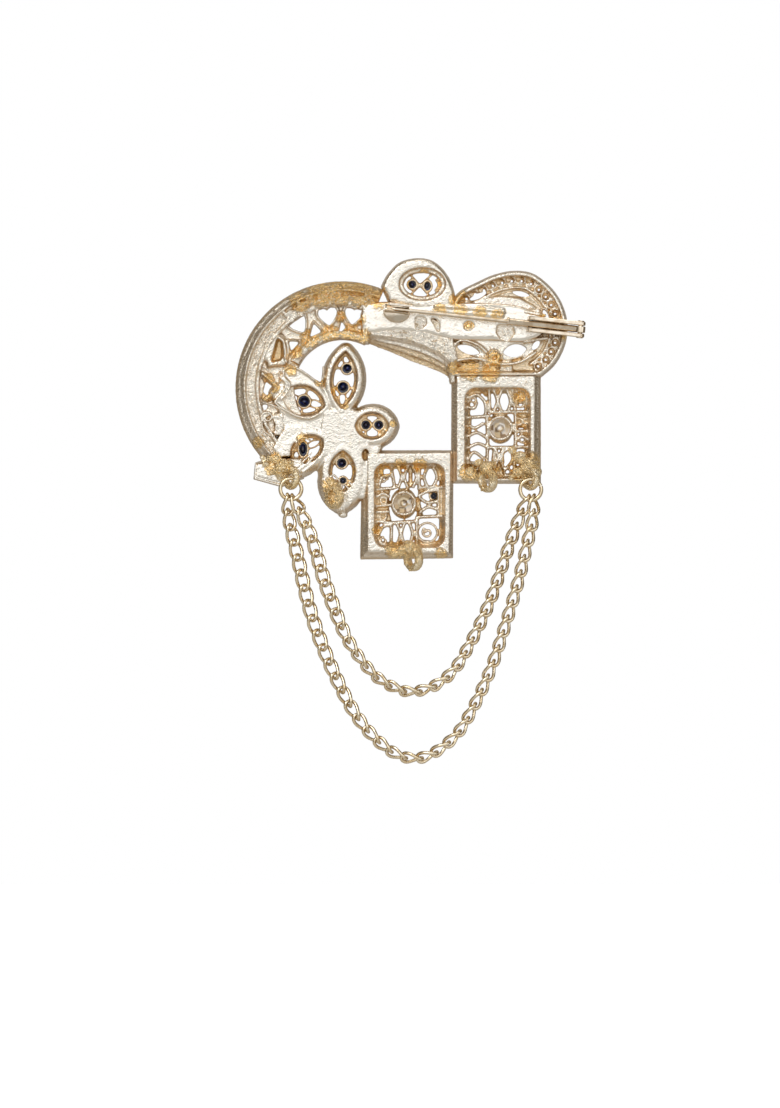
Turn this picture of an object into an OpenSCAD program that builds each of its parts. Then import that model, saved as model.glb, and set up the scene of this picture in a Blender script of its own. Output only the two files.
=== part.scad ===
// Openwork brooch with two chain swags, shown from its back.
// X runs to the right seen from the back, Y runs from the back to the front, Z is up.
// The origin is the middle of the pin, on its axis.

/* [Casting] */
// Depth of the walls behind the openwork floor
wall_h = 1.9; // [1.4:0.1:2.6]
// Thickness of the openwork floor
floor_t = 1.1; // [0.8:0.1:1.6]
// Rise of the front relief over the floor
relief_h = 0.6; // [0.4:0.1:1]
// Step of the walls inside the outline
draft = 0.3; // [0.2:0.05:0.45]
// Width of the fine bars of the openwork
bar_w = 0.55; // [0.45:0.05:0.75]
// Width of the smooth edge round cells and plates
edge_w = 1.8; // [1.5:0.1:2.2]

/* [Pin] */
// Length from the tip in the catch to the hinge pivot
pin_len = 34.2; // [30:0.2:37]
// Diameter of the pin wire
pin_d = 0.66; // [0.56:0.02:0.76]
// Diameter of the sleeve at the hinge end
sleeve_d = 1.24; // [1.1:0.02:1.36]
// Length of the sleeve from its collar to the pivot
sleeve_len = 13; // [10:0.5:15]
// Height of the pin axis over the back faces
pin_h = 3; // [2.6:0.1:3.6]
// Slope of the pin, down to the hinge end
pin_tilt = 6.3; // [3:0.1:9]
// Length of the two hinge ears
ear_len = 10.6; // [8:0.2:13]
// Thickness of a hinge ear
ear_t = 0.7; // [0.6:0.05:0.9]
// Diameter of the hinge rivet
rivet_d = 0.8; // [0.7:0.05:1]
// Length of the catch
catch_len = 4.3; // [3.4:0.1:5.2]
// Wall of the catch
catch_wall = 0.28; // [0.22:0.02:0.36]
// Running clearance round the pin, the pivot and the stones
clear = 0.1; // [0.08:0.01:0.14]

/* [Crescent] */
// Outer radius of the crescent
crescent_r = 19.3; // [18.4:0.1:20.2]
// Width of its grooved rim
rim_w = 4.6; // [4:0.1:5.2]
// Inner radius of the pierced gallery
gallery_r = 8.6; // [8:0.1:9.2]
// Distance of the crescent's middle left of the pin's middle
crescent_left = 25.7; // [25:0.1:26.4]
// Distance of the crescent's middle below the pin's middle
crescent_drop = 12.2; // [11.6:0.1:12.8]

/* [Flower] */
// Reach of the petals from the middle of the flower
flower_r = 8.3; // [7.8:0.1:8.8]
// Length of the longest petal cell
petal_len = 10.3; // [9.4:0.1:11.2]

/* [Top petal] */
// Width of the top petal
top_w = 13.4; // [12.4:0.1:14.4]
// Height of the top petal
top_h = 8.4; // [7.8:0.1:9]

/* [Ribbon and loop] */
// Length of the folded ribbon
ribbon_len = 15.6; // [14.8:0.1:16.4]
// Height of the ribbon at its root
ribbon_h = 5.6; // [5.2:0.1:6]
// Width of the teardrop loop
loop_w = 22.2; // [21:0.2:23.4]
// Height of the teardrop loop
loop_h = 19.4; // [18.4:0.2:20.4]
// Width of the loop's openwork band
loop_band = 3.2; // [2.8:0.1:3.6]
// Length of the leaf over the loop
leaf_len = 21.6; // [20.6:0.1:22.6]
// Height of the leaf
leaf_h = 7.6; // [7:0.1:8.2]

/* [Tiles and stones] */
// Width of a tile
tile_w = 16.2; // [15.4:0.1:17]
// Height of a tile
tile_h = 19.6; // [18.8:0.1:20.4]
// Corner radius of a tile's opening
tile_corner = 1.6; // [1:0.1:2.2]
// Diameter of the clear stones in the tiles
crystal_d = 3.9; // [3.4:0.1:4.3]
// Width of the ledge a stone sits on
ledge = 0.25; // [0.2:0.01:0.32]
// Depth of the seat of a stone
seat_deep = 0.4; // [0.3:0.05:0.5]

/* [Loops and chains] */
// Outer diameter of the charm loops
bail_d = 4.2; // [3.8:0.1:4.8]
// Bore of the charm loops
bail_bore = 2.2; // [1.9:0.1:2.4]
// Width of the charm loops
bail_w = 1; // [0.8:0.1:1.2]
// Turn of the charm loops' axes from the width of the brooch
bail_turn = 37; // [30:1:40]
// Outer diameter of the jump rings
ring_d = 4.5; // [4.1:0.1:5]
// Diameter of the jump ring wire
ring_wire = 0.7; // [0.6:0.05:0.8]
// Diameter of the chain wire
link_wire = 0.62; // [0.52:0.02:0.66]
// Distance from link to link
link_pitch = 2.8; // [2.7:0.05:3.2]
// Width of a link
link_w = 2.72; // [2.6:0.04:3]
// Fall of the outer chain below the rings
outer_drop = 46.6; // [42:0.2:52]
// Fall of the inner chain below the rings
inner_drop = 34.4; // [31:0.2:37]

/* [Hidden] */

gold = [0.86, 0.77, 0.58];
pale_gold = [0.93, 0.87, 0.74];
navy = [0.05, 0.06, 0.16];
clear_stone = [0.88, 0.92, 0.96];
$fn = 40;

function polar(c, r, a) = [c[0] + r * cos(a), c[1] + r * sin(a)];
function mix(a, b, t) = a + (b - a) * t;
function reverse(p) = [for (i = [len(p) - 1 : -1 : 0]) p[i]];
function spread(o, w, h, table) = [for (p = table) [o[0] + p[0] * w, o[1] + p[1] * h]];

// A smooth line through points, with a few steps between each two
function spline(p, steps) = let (last = len(p) - 1) [
    for (i = [0 : last - 1])
        let (a = p[max(i - 1, 0)], b = p[i], c = p[i + 1], d = p[min(i + 2, last)])
            for (k = [0 : steps - 1])
                let (t = k / steps)
                    0.5 * (2 * b + (c - a) * t + (2 * a - 5 * b + 4 * c - d) * t * t
                        + (3 * b - a - 3 * c + d) * t * t * t),
    p[last]];

// Running length along a line of points
function lengths(p, i = 0, sum = 0) =
    i == len(p) - 1 ? [sum] : concat([sum], lengths(p, i + 1, sum + norm(p[i + 1] - p[i])));
function at(p, run, s, axis) = lookup(s, [for (i = [0 : len(p) - 1]) [run[i], p[i][axis]]]);
function unit(v) = v / norm(v);

// Levels along Y, from the back faces to the front relief
back_y = pin_h;
floor_y = back_y + wall_h;
front_y = floor_y + floor_t;
relief_y = front_y + relief_h;
overlap = 0.2;
blend_r = 0.15;
loop_wall = 1.6;
relief_step = 1;
relief_open = 0.4;

// Anchors in the X and Z plane, each worked out from the one before it
crescent_c = [-crescent_left, -crescent_drop];
rim_start = 68;
rim_end = 229;
gallery_end = 150;
crescent_tip = polar(crescent_c, crescent_r - rim_w * 0.3, 64);
flower_c = crescent_c + crescent_r * [-0.114, -0.306];
top_o = crescent_tip + top_w * [-0.075, -0.09];
ribbon_o = crescent_tip + ribbon_len * [-0.256, -0.122];
tile_right_o = ribbon_o + [ribbon_len, -2.09 * ribbon_h] + bar_w * [0.2, -0.2];
tile_middle_o = tile_right_o + [-0.975 * tile_w, -0.684 * tile_h];
loop_o = tile_right_o + loop_w * [-0.05, -0.027];
leaf_o = loop_o + leaf_len * [-0.292, 0.273];

// Petals: cell centre from the flower's centre as shares of flower_r (x, z), then the cell's length
// and width and the reach of the tip past it as shares of petal_len, then the direction of the tip
PETALS = [
    [-0.57, 0.46, 0.76, 0.52, 0.1, 165],
    [0.3, 0.9, 1, 0.46, 0, 86],
    [0.91, -0.1, 0.58, 0.46, 0.02, 0],
    [0.27, -1.12, 0.74, 0.45, 0.14, -92],
    [-0.53, -0.64, 0.66, 0.45, 0.1, 205]];
CELL = [0, 1];
LEN = 2;
WID = 3;
TIP = 4;
AIM = 5;

// Stones behind the cells: place from the flower's centre as shares of flower_r (x, z), diameter
// of the hole that shows it, and its stretch along Z
PETAL_STONES = [
    [-0.56, 0.42, 1.9, 1],
    [0.37, 1.15, 1.5, 1],
    [0.28, 0.74, 1.7, 1],
    [0.78, -0.09, 1.4, 1],
    [1.06, -0.09, 1.4, 1],
    [0.26, -0.92, 1.5, 1],
    [0.28, -1.3, 1, 1],
    [-0.59, -0.61, 1.3, 1.7]];
// The same for the top petal, as shares of its width and height, and for the middle tile
TOP_STONES = [
    [0.425, 0.445, 1.25, 1],
    [0.625, 0.43, 1.05, 1.35]];
TILE_STONE = [0.84, 0.61, 1, 1];

// Outlines as shares of their own width and height
TOP_ARC = [[0, 0.49], [0.15, 0.77], [0.34, 0.94], [0.52, 1], [0.69, 0.96], [0.84, 0.79], [0.95, 0.55],
    [1, 0.32]];
TOP_BASE = [[0.95, 0.04], [0.52, -0.04], [0.1, 0.08]];
RIBBON_EDGE = [[0, -1], [0.33, -1.38], [0.75, -1.83], [1, -2.09]];
RIBBON_FOLD = [[0.05, -0.66], [0.49, -0.84], [0.81, -0.97], [1.08, -1.46]];
LOOP_EDGE = [[0.02, 0.6], [0.1, 0.79], [0.28, 0.9], [0.4, 0.965], [0.55, 1], [0.71, 0.98], [0.85, 0.865],
    [0.95, 0.71], [1, 0.52], [0.985, 0.32], [0.905, 0.13], [0.77, 0]];
LEAF_EDGE = [[0, 0.74], [0.25, 0.93], [0.75, 0.98], [1, 0.64], [0.87, 0.12], [0.67, -0.02], [0.42, 0.07],
    [0.17, 0.29]];

// Pointed gaps of the loop: place as shares of its width and height, the turn, then length and width
// as shares of its width
LOOP_GAPS = [[0.19, 0.27, -20, 0.19, 0.077], [0.56, 0.26, 8, 0.2, 0.108], [0.34, 0.75, 22, 0.162, 0.05],
    [0.62, 0.79, -8, 0.153, 0.045], [0.83, 0.58, -62, 0.117, 0.045]];
LOOP_OVALS = 13;
// Pockets of the leaf: place, then width and height, as shares of its length and height
LEAF_POCKETS = [[0.11, 0.55, 0.056, 0.29], [0.49, 0.45, 0.083, 0.29], [0.79, 0.3, 0.1, 0.29]];

// Corner plate from the flower's centre as shares of flower_r
CORNER_PLATE = [[-1.63, -0.9], [-1.67, -1.27], [-1.06, -1.45], [-0.6, -1.3], [-0.6, -0.7], [-1.2, -0.7]];

// Gallery gaps: angle round the crescent, distance as a share of its radius, size as a share of it
HEARTS = [[125, 0.72, 0.17], [101, 0.69, 0.19], [81, 0.7, 0.17]];
GALLERY_GAPS = [[136, 0.6, 0.1], [113, 0.61, 0.12], [91, 0.61, 0.1], [149, 0.68, 0.15], [178, 0.67, 0.17],
    [203, 0.73, 0.1], [190, 0.7, 0.07], [217, 0.83, 0.1]];

// Tiles: opening from its left, right, top and bottom edges as shares of the tile's size, then the
// grid lines of its openwork as shares of the opening
RIGHT_TILE = [[0.158, 0.09, 0.103, 0.06], [0.3, 0.74], [0.34, 0.73]];
MIDDLE_TILE = [[0.17, 0.1, 0.15, 0.13], [0.17, 0.6], [0.3, 0.73]];
// Openwork of a tile: eye of a scroll as a share of its ring, and a blade as a share of its field
SCROLL_EYE = 0.42;
BLADE = 0.86;

// Section of the rim: shares of its width from the outer radius, then of the depth of the casting; it
// stands a little proud of the front face and a little inside the back faces
RIM = [[0, -0.02], [0.2, 0.98], [0.33, 0.98], [0.41, 0.72], [0.78, 0.72], [0.85, 0.92], [0.93, 0.92],
    [1, -0.02]];

// Charm loops from the flower's centre as shares of flower_r, or from a tile's corner in shares
bail_left = flower_c + flower_r * [-0.843, -1.241];
bail_petal = flower_c + flower_r * [0.096, -1.66];
bail_middle = tile_middle_o + [0.56 * tile_w, -tile_h - 0.05 * bail_d];
bail_right_inner = tile_right_o + [0.41 * tile_w, -tile_h + 0.12 * bail_d];
bail_right_outer = tile_right_o + [0.883 * tile_w, -tile_h + 0.21 * bail_d];
bail_y = back_y - 1;
bail_relief = 1.2;
bail_flare = 0.9;

// Chain routes: share of the way from ring to ring, then share of the chain's fall
OUTER_ROUTE = [[0.006, 0.08], [0.038, 0.213], [0.093, 0.434], [0.17, 0.632], [0.263, 0.81],
    [0.351, 0.917], [0.449, 0.984], [0.547, 0.993], [0.64, 0.945], [0.721, 0.857], [0.819, 0.664],
    [0.888, 0.467], [0.937, 0.308], [0.974, 0.16], [0.994, 0.075]];
INNER_ROUTE = [[0.04, 0.1], [0.088, 0.251], [0.133, 0.439], [0.216, 0.7], [0.298, 0.854], [0.379, 0.949],
    [0.481, 1], [0.57, 0.987], [0.649, 0.932], [0.719, 0.83], [0.828, 0.567], [0.909, 0.288], [0.958, 0.12]];
// How the links roll round the chain: share of the chain's length, then the angle
OUTER_ROLL = [[0, -40], [0.12, 0], [0.25, 8], [0.38, 36], [0.5, 56], [0.62, 50], [0.75, 45], [1, 40]];
INNER_ROLL = [[0, -40], [0.17, -2], [0.26, 24], [0.36, 54], [0.5, 60], [0.66, 48], [1, 40]];

top_edge = concat(spline(spread(top_o, top_w, top_h, TOP_ARC), 4), spread(top_o, top_w, top_h, TOP_BASE));
loop_arc = spline(spread(loop_o, loop_w, loop_h, LOOP_EDGE), 4);
loop_edge = concat(loop_arc, [loop_o + [loop_w * 0.02, 0]]);
leaf_edge = spline(spread(leaf_o, leaf_len, leaf_h, concat(LEAF_EDGE, [LEAF_EDGE[0]])), 3);
ribbon_edge = spline(spread(ribbon_o, ribbon_len, ribbon_h, RIBBON_EDGE), 4);
ribbon_fold = spline(spread(ribbon_o, ribbon_len, ribbon_h, RIBBON_FOLD), 4);

module slab(y0, y1) translate([0, y1, 0]) rotate([90, 0, 0]) linear_extrude(y1 - y0) children();
module on_pin_line() rotate([0, pin_tilt, 0]) children();

// Flat shapes, drawn in the X and Z plane
module lens(len, wid) {
    r = (len * len + wid * wid) / (4 * wid);
    intersection() {
        translate([0, r - wid / 2]) circle(r);
        translate([0, wid / 2 - r]) circle(r);
    }
}
module heart(size) {
    for (side = [-1, 1])
        translate([side * size * 0.25, size * 0.15]) circle(d = size * 0.54, $fn = 14);
    polygon([[-size * 0.5, size * 0.06], [size * 0.5, size * 0.06], [0, -size * 0.55]]);
}
module round_box(size, r) translate([r, r]) offset(r = r) square(size - 2 * [r, r]);
module ring(d, w) difference() {
    circle(d = d);
    circle(d = d - 2 * w);
}
module ring_sector(r0, r1, a0, a1) {
    steps = ceil(abs(a1 - a0) / 4);
    polygon(concat(
        [for (i = [0 : steps]) polar(crescent_c, r1, mix(a0, a1, i / steps))],
        [for (i = [steps : -1 : 0]) polar(crescent_c, r0, mix(a0, a1, i / steps))]));
}
module around_crescent(a, share)
    translate(polar(crescent_c, crescent_r * share, a)) rotate(a - 90) children();

// Petals of the flower
module at_cell(p) translate(flower_c + flower_r * [p[CELL[0]], p[CELL[1]]]) rotate(p[AIM]) children();
module petal_cell(p) at_cell(p) lens(p[LEN] * petal_len, p[WID] * petal_len);
module petal_outline(p) offset(r = edge_w) {
    petal_cell(p);
    at_cell(p) translate([p[TIP] * petal_len, 0]) lens(p[LEN] * petal_len, p[WID] * petal_len);
}
module flower_outline() {
    for (p = PETALS) petal_outline(p);
    translate(flower_c) circle(r = flower_r * 0.62);
}
module petal_gaps(p) difference() {
    offset(delta = -bar_w) petal_cell(p);
    for (s = PETAL_STONES) translate(stone_place(s)) circle(d = s[2] + 2 * bar_w, $fn = 16);
    at_cell(p) square([petal_len, bar_w], center = true);
}
function stone_place(s) = flower_c + flower_r * [s[0], s[1]];
function top_place(s) = top_o + [s[0] * top_w, s[1] * top_h];

// Top petal
module top_cell() translate(top_o + [0.563 * top_w, 0.425 * top_h]) scale([1, top_h / top_w * 1.18])
    circle(d = top_w * 0.62);
module top_gaps() difference() {
    offset(delta = -1.5 * bar_w) top_cell();
    for (s = TOP_STONES) translate(top_place(s)) circle(d = s[2] + 2 * bar_w, $fn = 16);
    for (turn = [-60, 60]) translate(top_o + [0.54 * top_w, 0.425 * top_h]) rotate(turn)
        square([top_w, bar_w], center = true);
}

// Crescent
module crescent_floor() {
    ring_sector(gallery_r, crescent_r - rim_w / 2, rim_start - 6, rim_end);
    polygon([polar(crescent_c, crescent_r - draft, rim_start + 3), crescent_tip + rim_w * [0.109, 0.174],
        crescent_tip + rim_w * [0.109, -0.348], polar(crescent_c, crescent_r - rim_w, rim_start + 3)]);
}
module corner_plate() polygon([for (p = CORNER_PLATE) flower_c + flower_r * p]);
module gallery_gaps() {
    for (h = HEARTS) around_crescent(h[0], h[1]) heart(h[2] * crescent_r);
    for (g = GALLERY_GAPS) around_crescent(g[0], g[1]) circle(d = g[2] * crescent_r, $fn = 3);
}

// Ribbon, loop and leaf
module ribbon_outline() polygon(concat([ribbon_o, ribbon_o + [ribbon_len, 1]], reverse(ribbon_edge)));
module ribbon_flat() polygon(concat([ribbon_o, ribbon_o + [ribbon_len, 1]], reverse(ribbon_fold)));
module loop_outline() polygon(loop_edge);
module leaf_outline() polygon(leaf_edge);
loop_run = lengths(loop_arc);
module along_loop(f) {
    s = f * loop_run[len(loop_run) - 1];
    here = [at(loop_arc, loop_run, s, 0), at(loop_arc, loop_run, s, 1)];
    ahead = [at(loop_arc, loop_run, s + bar_w, 0), at(loop_arc, loop_run, s + bar_w, 1)];
    t = unit(ahead - here);
    translate(here + loop_band * 0.55 * [t[1], -t[0]]) rotate(atan2(t[1], t[0])) children();
}
module loop_gaps() {
    for (i = [1 : LOOP_OVALS])
        along_loop(i / (LOOP_OVALS + 1)) scale([0.55, 1]) circle(d = loop_band / 2, $fn = 10);
    for (g = LOOP_GAPS)
        translate(loop_o + [g[0] * loop_w, g[1] * loop_h]) rotate(g[2]) lens(g[3] * loop_w, g[4] * loop_w);
}
module leaf_pockets() for (g = LEAF_POCKETS)
    translate(leaf_o + [g[0] * leaf_len, g[1] * leaf_h])
        scale([g[2] * leaf_len, g[3] * leaf_h]) circle(d = 1, $fn = 12);

// Tiles: o is the upper left corner, t a row of edge shares and grid lines
function opening_o(o, t) = o + [t[0][0] * tile_w, -(1 - t[0][3]) * tile_h];
function opening_size(t) = [(1 - t[0][0] - t[0][1]) * tile_w, (1 - t[0][2] - t[0][3]) * tile_h];
function crystal_place(o, t) = opening_o(o, t)
    + [mix(t[1][0], t[1][1], 0.5) * opening_size(t)[0], mix(t[2][0], t[2][1], 0.5) * opening_size(t)[1]];
module tile_plate(o) translate(o - [0, tile_h]) square([tile_w, tile_h]);
module tile_opening(o, t) translate(opening_o(o, t)) round_box(opening_size(t), tile_corner);
module tile_bars(o, t) {
    size = opening_size(t);
    cols = concat([0], t[1], [1]) * size[0];
    rows = concat([0], t[2], [1]) * size[1];
    translate(opening_o(o, t)) {
        for (u = t[1]) translate([u * size[0] - bar_w / 2, 0]) square([bar_w, size[1]]);
        for (v = t[2]) translate([0, v * size[1] - bar_w / 2]) square([size[0], bar_w]);
        for (i = [0, 2], j = [0, 2]) {
            d = min(cols[i + 1] - cols[i], rows[j + 1] - rows[j]) + bar_w;
            translate([cols[i] + cols[i + 1], rows[j] + rows[j + 1]] / 2) {
                ring(d, bar_w, $fn = 16);
                translate([0, (d - d * SCROLL_EYE) / 2 - bar_w / 2]) circle(d = d * SCROLL_EYE, $fn = 10);
            }
        }
        for (j = [0, 2], side = [0, 1]) intersection() {
            translate([cols[1], rows[j]]) square([cols[2] - cols[1], rows[j + 1] - rows[j]]);
            translate([cols[1 + side], mix(rows[j], rows[j + 1], 0.5)])
                circle(d = (cols[2] - cols[1]) * BLADE, $fn = 16);
        }
        for (i = [0, 2]) translate([cols[i], mix(rows[1], rows[2], 0.5) - bar_w / 2])
            square([cols[i + 1] - cols[i], bar_w]);
    }
    translate(crystal_place(o, t)) circle(d = crystal_d + 2 * bar_w, $fn = 24);
}
module tile_gaps(o, t) difference() {
    offset(delta = -draft) tile_opening(o, t);
    tile_bars(o, t);
}

// Charm loops and the seats of the stones
BAILS = [bail_left, bail_petal, bail_middle, bail_right_inner, bail_right_outer];
module at_bail(p) translate([p[0], bail_y, p[1]]) rotate([0, 90, bail_turn]) children();
module stone_seat(place, d, tall = 1) translate([place[0], relief_y + overlap, place[1]]) scale([1, 1, tall])
    rotate([90, 0, 0]) {
        cylinder(d = d, h = relief_y - floor_y + wall_h);
        cylinder(d = d + 2 * ledge + 2 * clear, h = relief_h + overlap + seat_deep);
    }

// Hinge: ears that reach a little past the pivot and are cut back in front of it for the swing
pivot_x = pin_len / 2;
ear_past = 1;
ear_step = 2.2;
ear_start = pivot_x + ear_past - ear_len;
ear_gap = sleeve_d + 2 * clear;
ear_top = sleeve_d / 2 + 0.15;
knuckle_r = rivet_d / 2 + clear + 0.42;
rivet_head = 0.15;

module hinge_pad() rotate(-pin_tilt) translate([ear_start, -ear_gap / 2 - ear_t])
    square([loop_o[0] + loop_w - draft - ear_start, ear_gap + 2 * ear_t]);
module hinge_ears() on_pin_line() {
    for (side = [-1, 1])
        translate([0, 0, side * (ear_gap + ear_t) / 2]) {
            translate([ear_start, -ear_top, -ear_t / 2])
                cube([pivot_x - ear_step - ear_start, back_y + ear_top + overlap, ear_t]);
            translate([pivot_x - ear_step - overlap, -ear_top, -ear_t / 2])
                cube([ear_step + overlap, ear_top + knuckle_r, ear_t]);
            translate([pivot_x, (knuckle_r - ear_top) / 2, 0])
                cylinder(r = (knuckle_r + ear_top) / 2, h = ear_t, center = true);
        }
    translate([pivot_x, 0, 0]) cylinder(d = rivet_d, h = ear_gap + 2 * ear_t + 2 * rivet_head, center = true);
}

// Catch: a rolled gutter, open to the back, on a half-moon plate
catch_bore = pin_d / 2 + clear;
catch_r = catch_bore + catch_wall;
catch_start = -pivot_x - 1;
catch_drop = 1.9;
module along_catch(from, to) translate([catch_start + from, 0, 0]) rotate([0, 90, 0])
    linear_extrude(to - from) children();
module catch() on_pin_line() difference() {
    union() {
        along_catch(0, catch_len) circle(r = catch_r);
        translate([catch_start + catch_len / 2, back_y + overlap, -catch_r * 0.6]) rotate([90, 0, 0])
            intersection() {
                cylinder(d = catch_len + 2 * catch_wall, h = back_y + overlap - catch_r * 0.4);
                translate([-catch_len, -catch_drop, 0]) cube([2 * catch_len, catch_drop, 2 * back_y]);
            }
        along_catch(catch_wall, catch_len - catch_wall) translate([-catch_r * 0.7, catch_r * 0.4])
            square([catch_r * 1.4, back_y + overlap - catch_r * 0.4]);
    }
    along_catch(-1, catch_len + 1) {
        circle(r = catch_bore);
        translate([-catch_bore, -2 * catch_r]) square([2 * catch_bore, 2 * catch_r]);
    }
}

// The casting: an openwork floor, the walls behind it, the front relief, and what is soldered on
module floor_outline() {
    crescent_floor();
    corner_plate();
    flower_outline();
    polygon(top_edge);
    ribbon_outline();
    loop_outline();
    tile_plate(tile_right_o);
    tile_plate(tile_middle_o);
}
module floor_gaps() {
    difference() {
        gallery_gaps();
        flower_outline();
    }
    difference() {
        loop_gaps();
        hinge_pad();
        polygon(top_edge);
    }
    for (p = PETALS) petal_gaps(p);
    top_gaps();
    tile_gaps(tile_right_o, RIGHT_TILE);
    tile_gaps(tile_middle_o, MIDDLE_TILE);
}
module walls_outline() offset(r = -draft) offset(r = -blend_r) offset(r = blend_r) {
    ring_sector(gallery_r, gallery_r + 3 * bar_w, rim_start - 4, gallery_end);
    corner_plate();
    flower_outline();
    polygon(top_edge);
    ribbon_flat();
    loop_outline();
    tile_plate(tile_right_o);
    tile_plate(tile_middle_o);
    hinge_pad();
}
module wall_cells() {
    for (p = PETALS) petal_cell(p);
    top_cell();
    tile_opening(tile_right_o, RIGHT_TILE);
    tile_opening(tile_middle_o, MIDDLE_TILE);
    difference() {
        offset(delta = -loop_wall) loop_outline();
        ribbon_flat();
        leaf_outline();
        hinge_pad();
        polygon(top_edge);
        tile_plate(tile_right_o);
        difference() {
            offset(delta = -loop_band - overlap) loop_outline();
            offset(delta = -loop_band - overlap - 1.5 * bar_w) loop_outline();
        }
    }
    difference() {
        leaf_pockets();
        hinge_pad();
    }
}
module front_relief() difference() {
    offset(delta = -relief_step) {
        for (p = PETALS) petal_outline(p);
        polygon(top_edge);
    }
    offset(delta = relief_open) {
        for (p = PETALS) petal_gaps(p);
        top_gaps();
    }
}
module crescent_rim() translate([crescent_c[0], front_y, crescent_c[1]]) rotate([90, 0, 0])
    rotate([0, 0, rim_start]) rotate_extrude(angle = rim_end - rim_start, $fn = 96)
        polygon([for (p = RIM) [crescent_r - p[0] * rim_w, p[1] * (front_y - back_y)]]);

module frame() color(gold) difference() {
    union() {
        slab(floor_y, front_y) difference() {
            offset(r = blend_r) offset(r = -2 * blend_r) offset(r = blend_r) floor_outline();
            floor_gaps();
        }
        slab(back_y, floor_y + overlap) difference() {
            walls_outline();
            wall_cells();
        }
        slab(front_y - overlap, relief_y) front_relief();
        crescent_rim();
        hinge_ears();
        catch();
        for (p = BAILS) at_bail(p) cylinder(d = bail_d, h = bail_w, center = true);
    }
    for (p = BAILS) at_bail(p) {
        cylinder(d = bail_bore, h = bail_w + 2 * clear, center = true);
        translate([0, 0, bail_w / 2]) cylinder(d1 = bail_bore, d2 = bail_bore + bail_flare, h = bail_relief);
    }
    for (s = PETAL_STONES) stone_seat(stone_place(s), s[2], s[3]);
    for (s = TOP_STONES) stone_seat(top_place(s), s[2], s[3]);
    stone_seat(tile_stone_place(), TILE_STONE[2]);
    for (t = [[tile_right_o, RIGHT_TILE], [tile_middle_o, MIDDLE_TILE]])
        stone_seat(crystal_place(t[0], t[1]), crystal_d - 2 * ledge);
}
function tile_stone_place() = opening_o(tile_middle_o, MIDDLE_TILE)
    + [TILE_STONE[0] * opening_size(MIDDLE_TILE)[0], TILE_STONE[1] * opening_size(MIDDLE_TILE)[1]];

// The pin with its tip in the catch, turning on the hinge rivet
pin_taper = 1;
collar_len = 0.5;
collar_step = 0.15;
module along_pin(from) translate([from - pivot_x, 0, 0]) rotate([0, 90, 0]) children();
module pin_stem() color(pale_gold) on_pin_line() difference() {
    union() {
        along_pin(0) cylinder(d1 = pin_d * 0.2, d2 = pin_d, h = pin_taper);
        along_pin(pin_taper) cylinder(d = pin_d, h = pin_len - pin_taper - sleeve_len + overlap / 2);
        along_pin(pin_len - sleeve_len - collar_len / 2)
            cylinder(d = sleeve_d + 2 * collar_step, h = collar_len);
        along_pin(pin_len - sleeve_len) cylinder(d = sleeve_d, h = sleeve_len - rivet_d / 2);
        translate([pivot_x, 0, 0]) cylinder(r = knuckle_r, h = sleeve_d - clear, center = true);
    }
    translate([pivot_x, 0, 0]) cylinder(d = rivet_d + 2 * clear, h = 2 * sleeve_d, center = true);
}

// A cut stone with its table to the front: d is the hole that shows its back
module cut_stone(place, d, tall = 1) {
    girdle = d / 2 + ledge;
    seat = front_y - seat_deep + clear;
    culet = floor_y + clear;
    table = relief_y + relief_h / 2;
    translate([place[0], 0, place[1]]) scale([1, 1, tall]) rotate([-90, 0, 0])
        rotate_extrude($fn = 8) polygon([[0, culet], [d * 0.22, culet], [d / 2 - clear, seat],
            [girdle, seat], [girdle, seat + ledge], [girdle * 0.6, table], [0, table]]);
}
module petal_stone(i) color(navy)
    cut_stone(stone_place(PETAL_STONES[i]), PETAL_STONES[i][2], PETAL_STONES[i][3]);
module top_stone(i) color(navy) cut_stone(top_place(TOP_STONES[i]), TOP_STONES[i][2], TOP_STONES[i][3]);
module stone_petal_left() petal_stone(0);
module stone_petal_upper_high() petal_stone(1);
module stone_petal_upper_low() petal_stone(2);
module stone_petal_right_near() petal_stone(3);
module stone_petal_right_far() petal_stone(4);
module stone_petal_lower_high() petal_stone(5);
module stone_petal_lower_low() petal_stone(6);
module stone_petal_corner() petal_stone(7);
module stone_top_left() top_stone(0);
module stone_top_right() top_stone(1);
module stone_tile() color(navy) cut_stone(tile_stone_place(), TILE_STONE[2]);
module crystal_tile_middle() color(clear_stone)
    cut_stone(crystal_place(tile_middle_o, MIDDLE_TILE), crystal_d - 2 * ledge);
module crystal_tile_right() color(clear_stone)
    cut_stone(crystal_place(tile_right_o, RIGHT_TILE), crystal_d - 2 * ledge);

// Jump rings hang in the charm loops, with the wire low in the bore and clear of both its mouths
ring_mid = (ring_d - ring_wire) / 2;
bore_out = (bail_w + ring_wire * sin(bail_turn)) / 2 / cos(bail_turn);
bore_side = bore_out * sin(bail_turn);
bore_room = (bail_bore - ring_wire) / 2 - clear;
ring_fall = sqrt(max(0, bore_room * bore_room - bore_side * bore_side))
    + sqrt(ring_mid * ring_mid - bore_out * bore_out);
ring_left = bail_left - [0, ring_fall];
ring_right = bail_right_outer - [0, ring_fall];
module jump_ring(place) color(pale_gold) translate([place[0], bail_y, place[1]]) rotate([90, 0, 0])
    rotate_extrude() translate([ring_mid, 0]) circle(d = ring_wire, $fn = 16);
module jump_ring_left() jump_ring(ring_left);
module jump_ring_right() jump_ring(ring_right);

// Chains: twisted links on a route from ring to ring, side by side on each ring's wire
wire_sides = 5;
link_steps = 12;
link_reach = (link_pitch + link_wire) / 2 + 2 * clear;
link_half = (link_w - link_wire) / 2;
link_twist = 50;
hook = link_reach - (ring_wire + link_wire) / 2 - 2 * clear;
chain_apart = 1.15;
eye_apart = 0.6;

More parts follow.
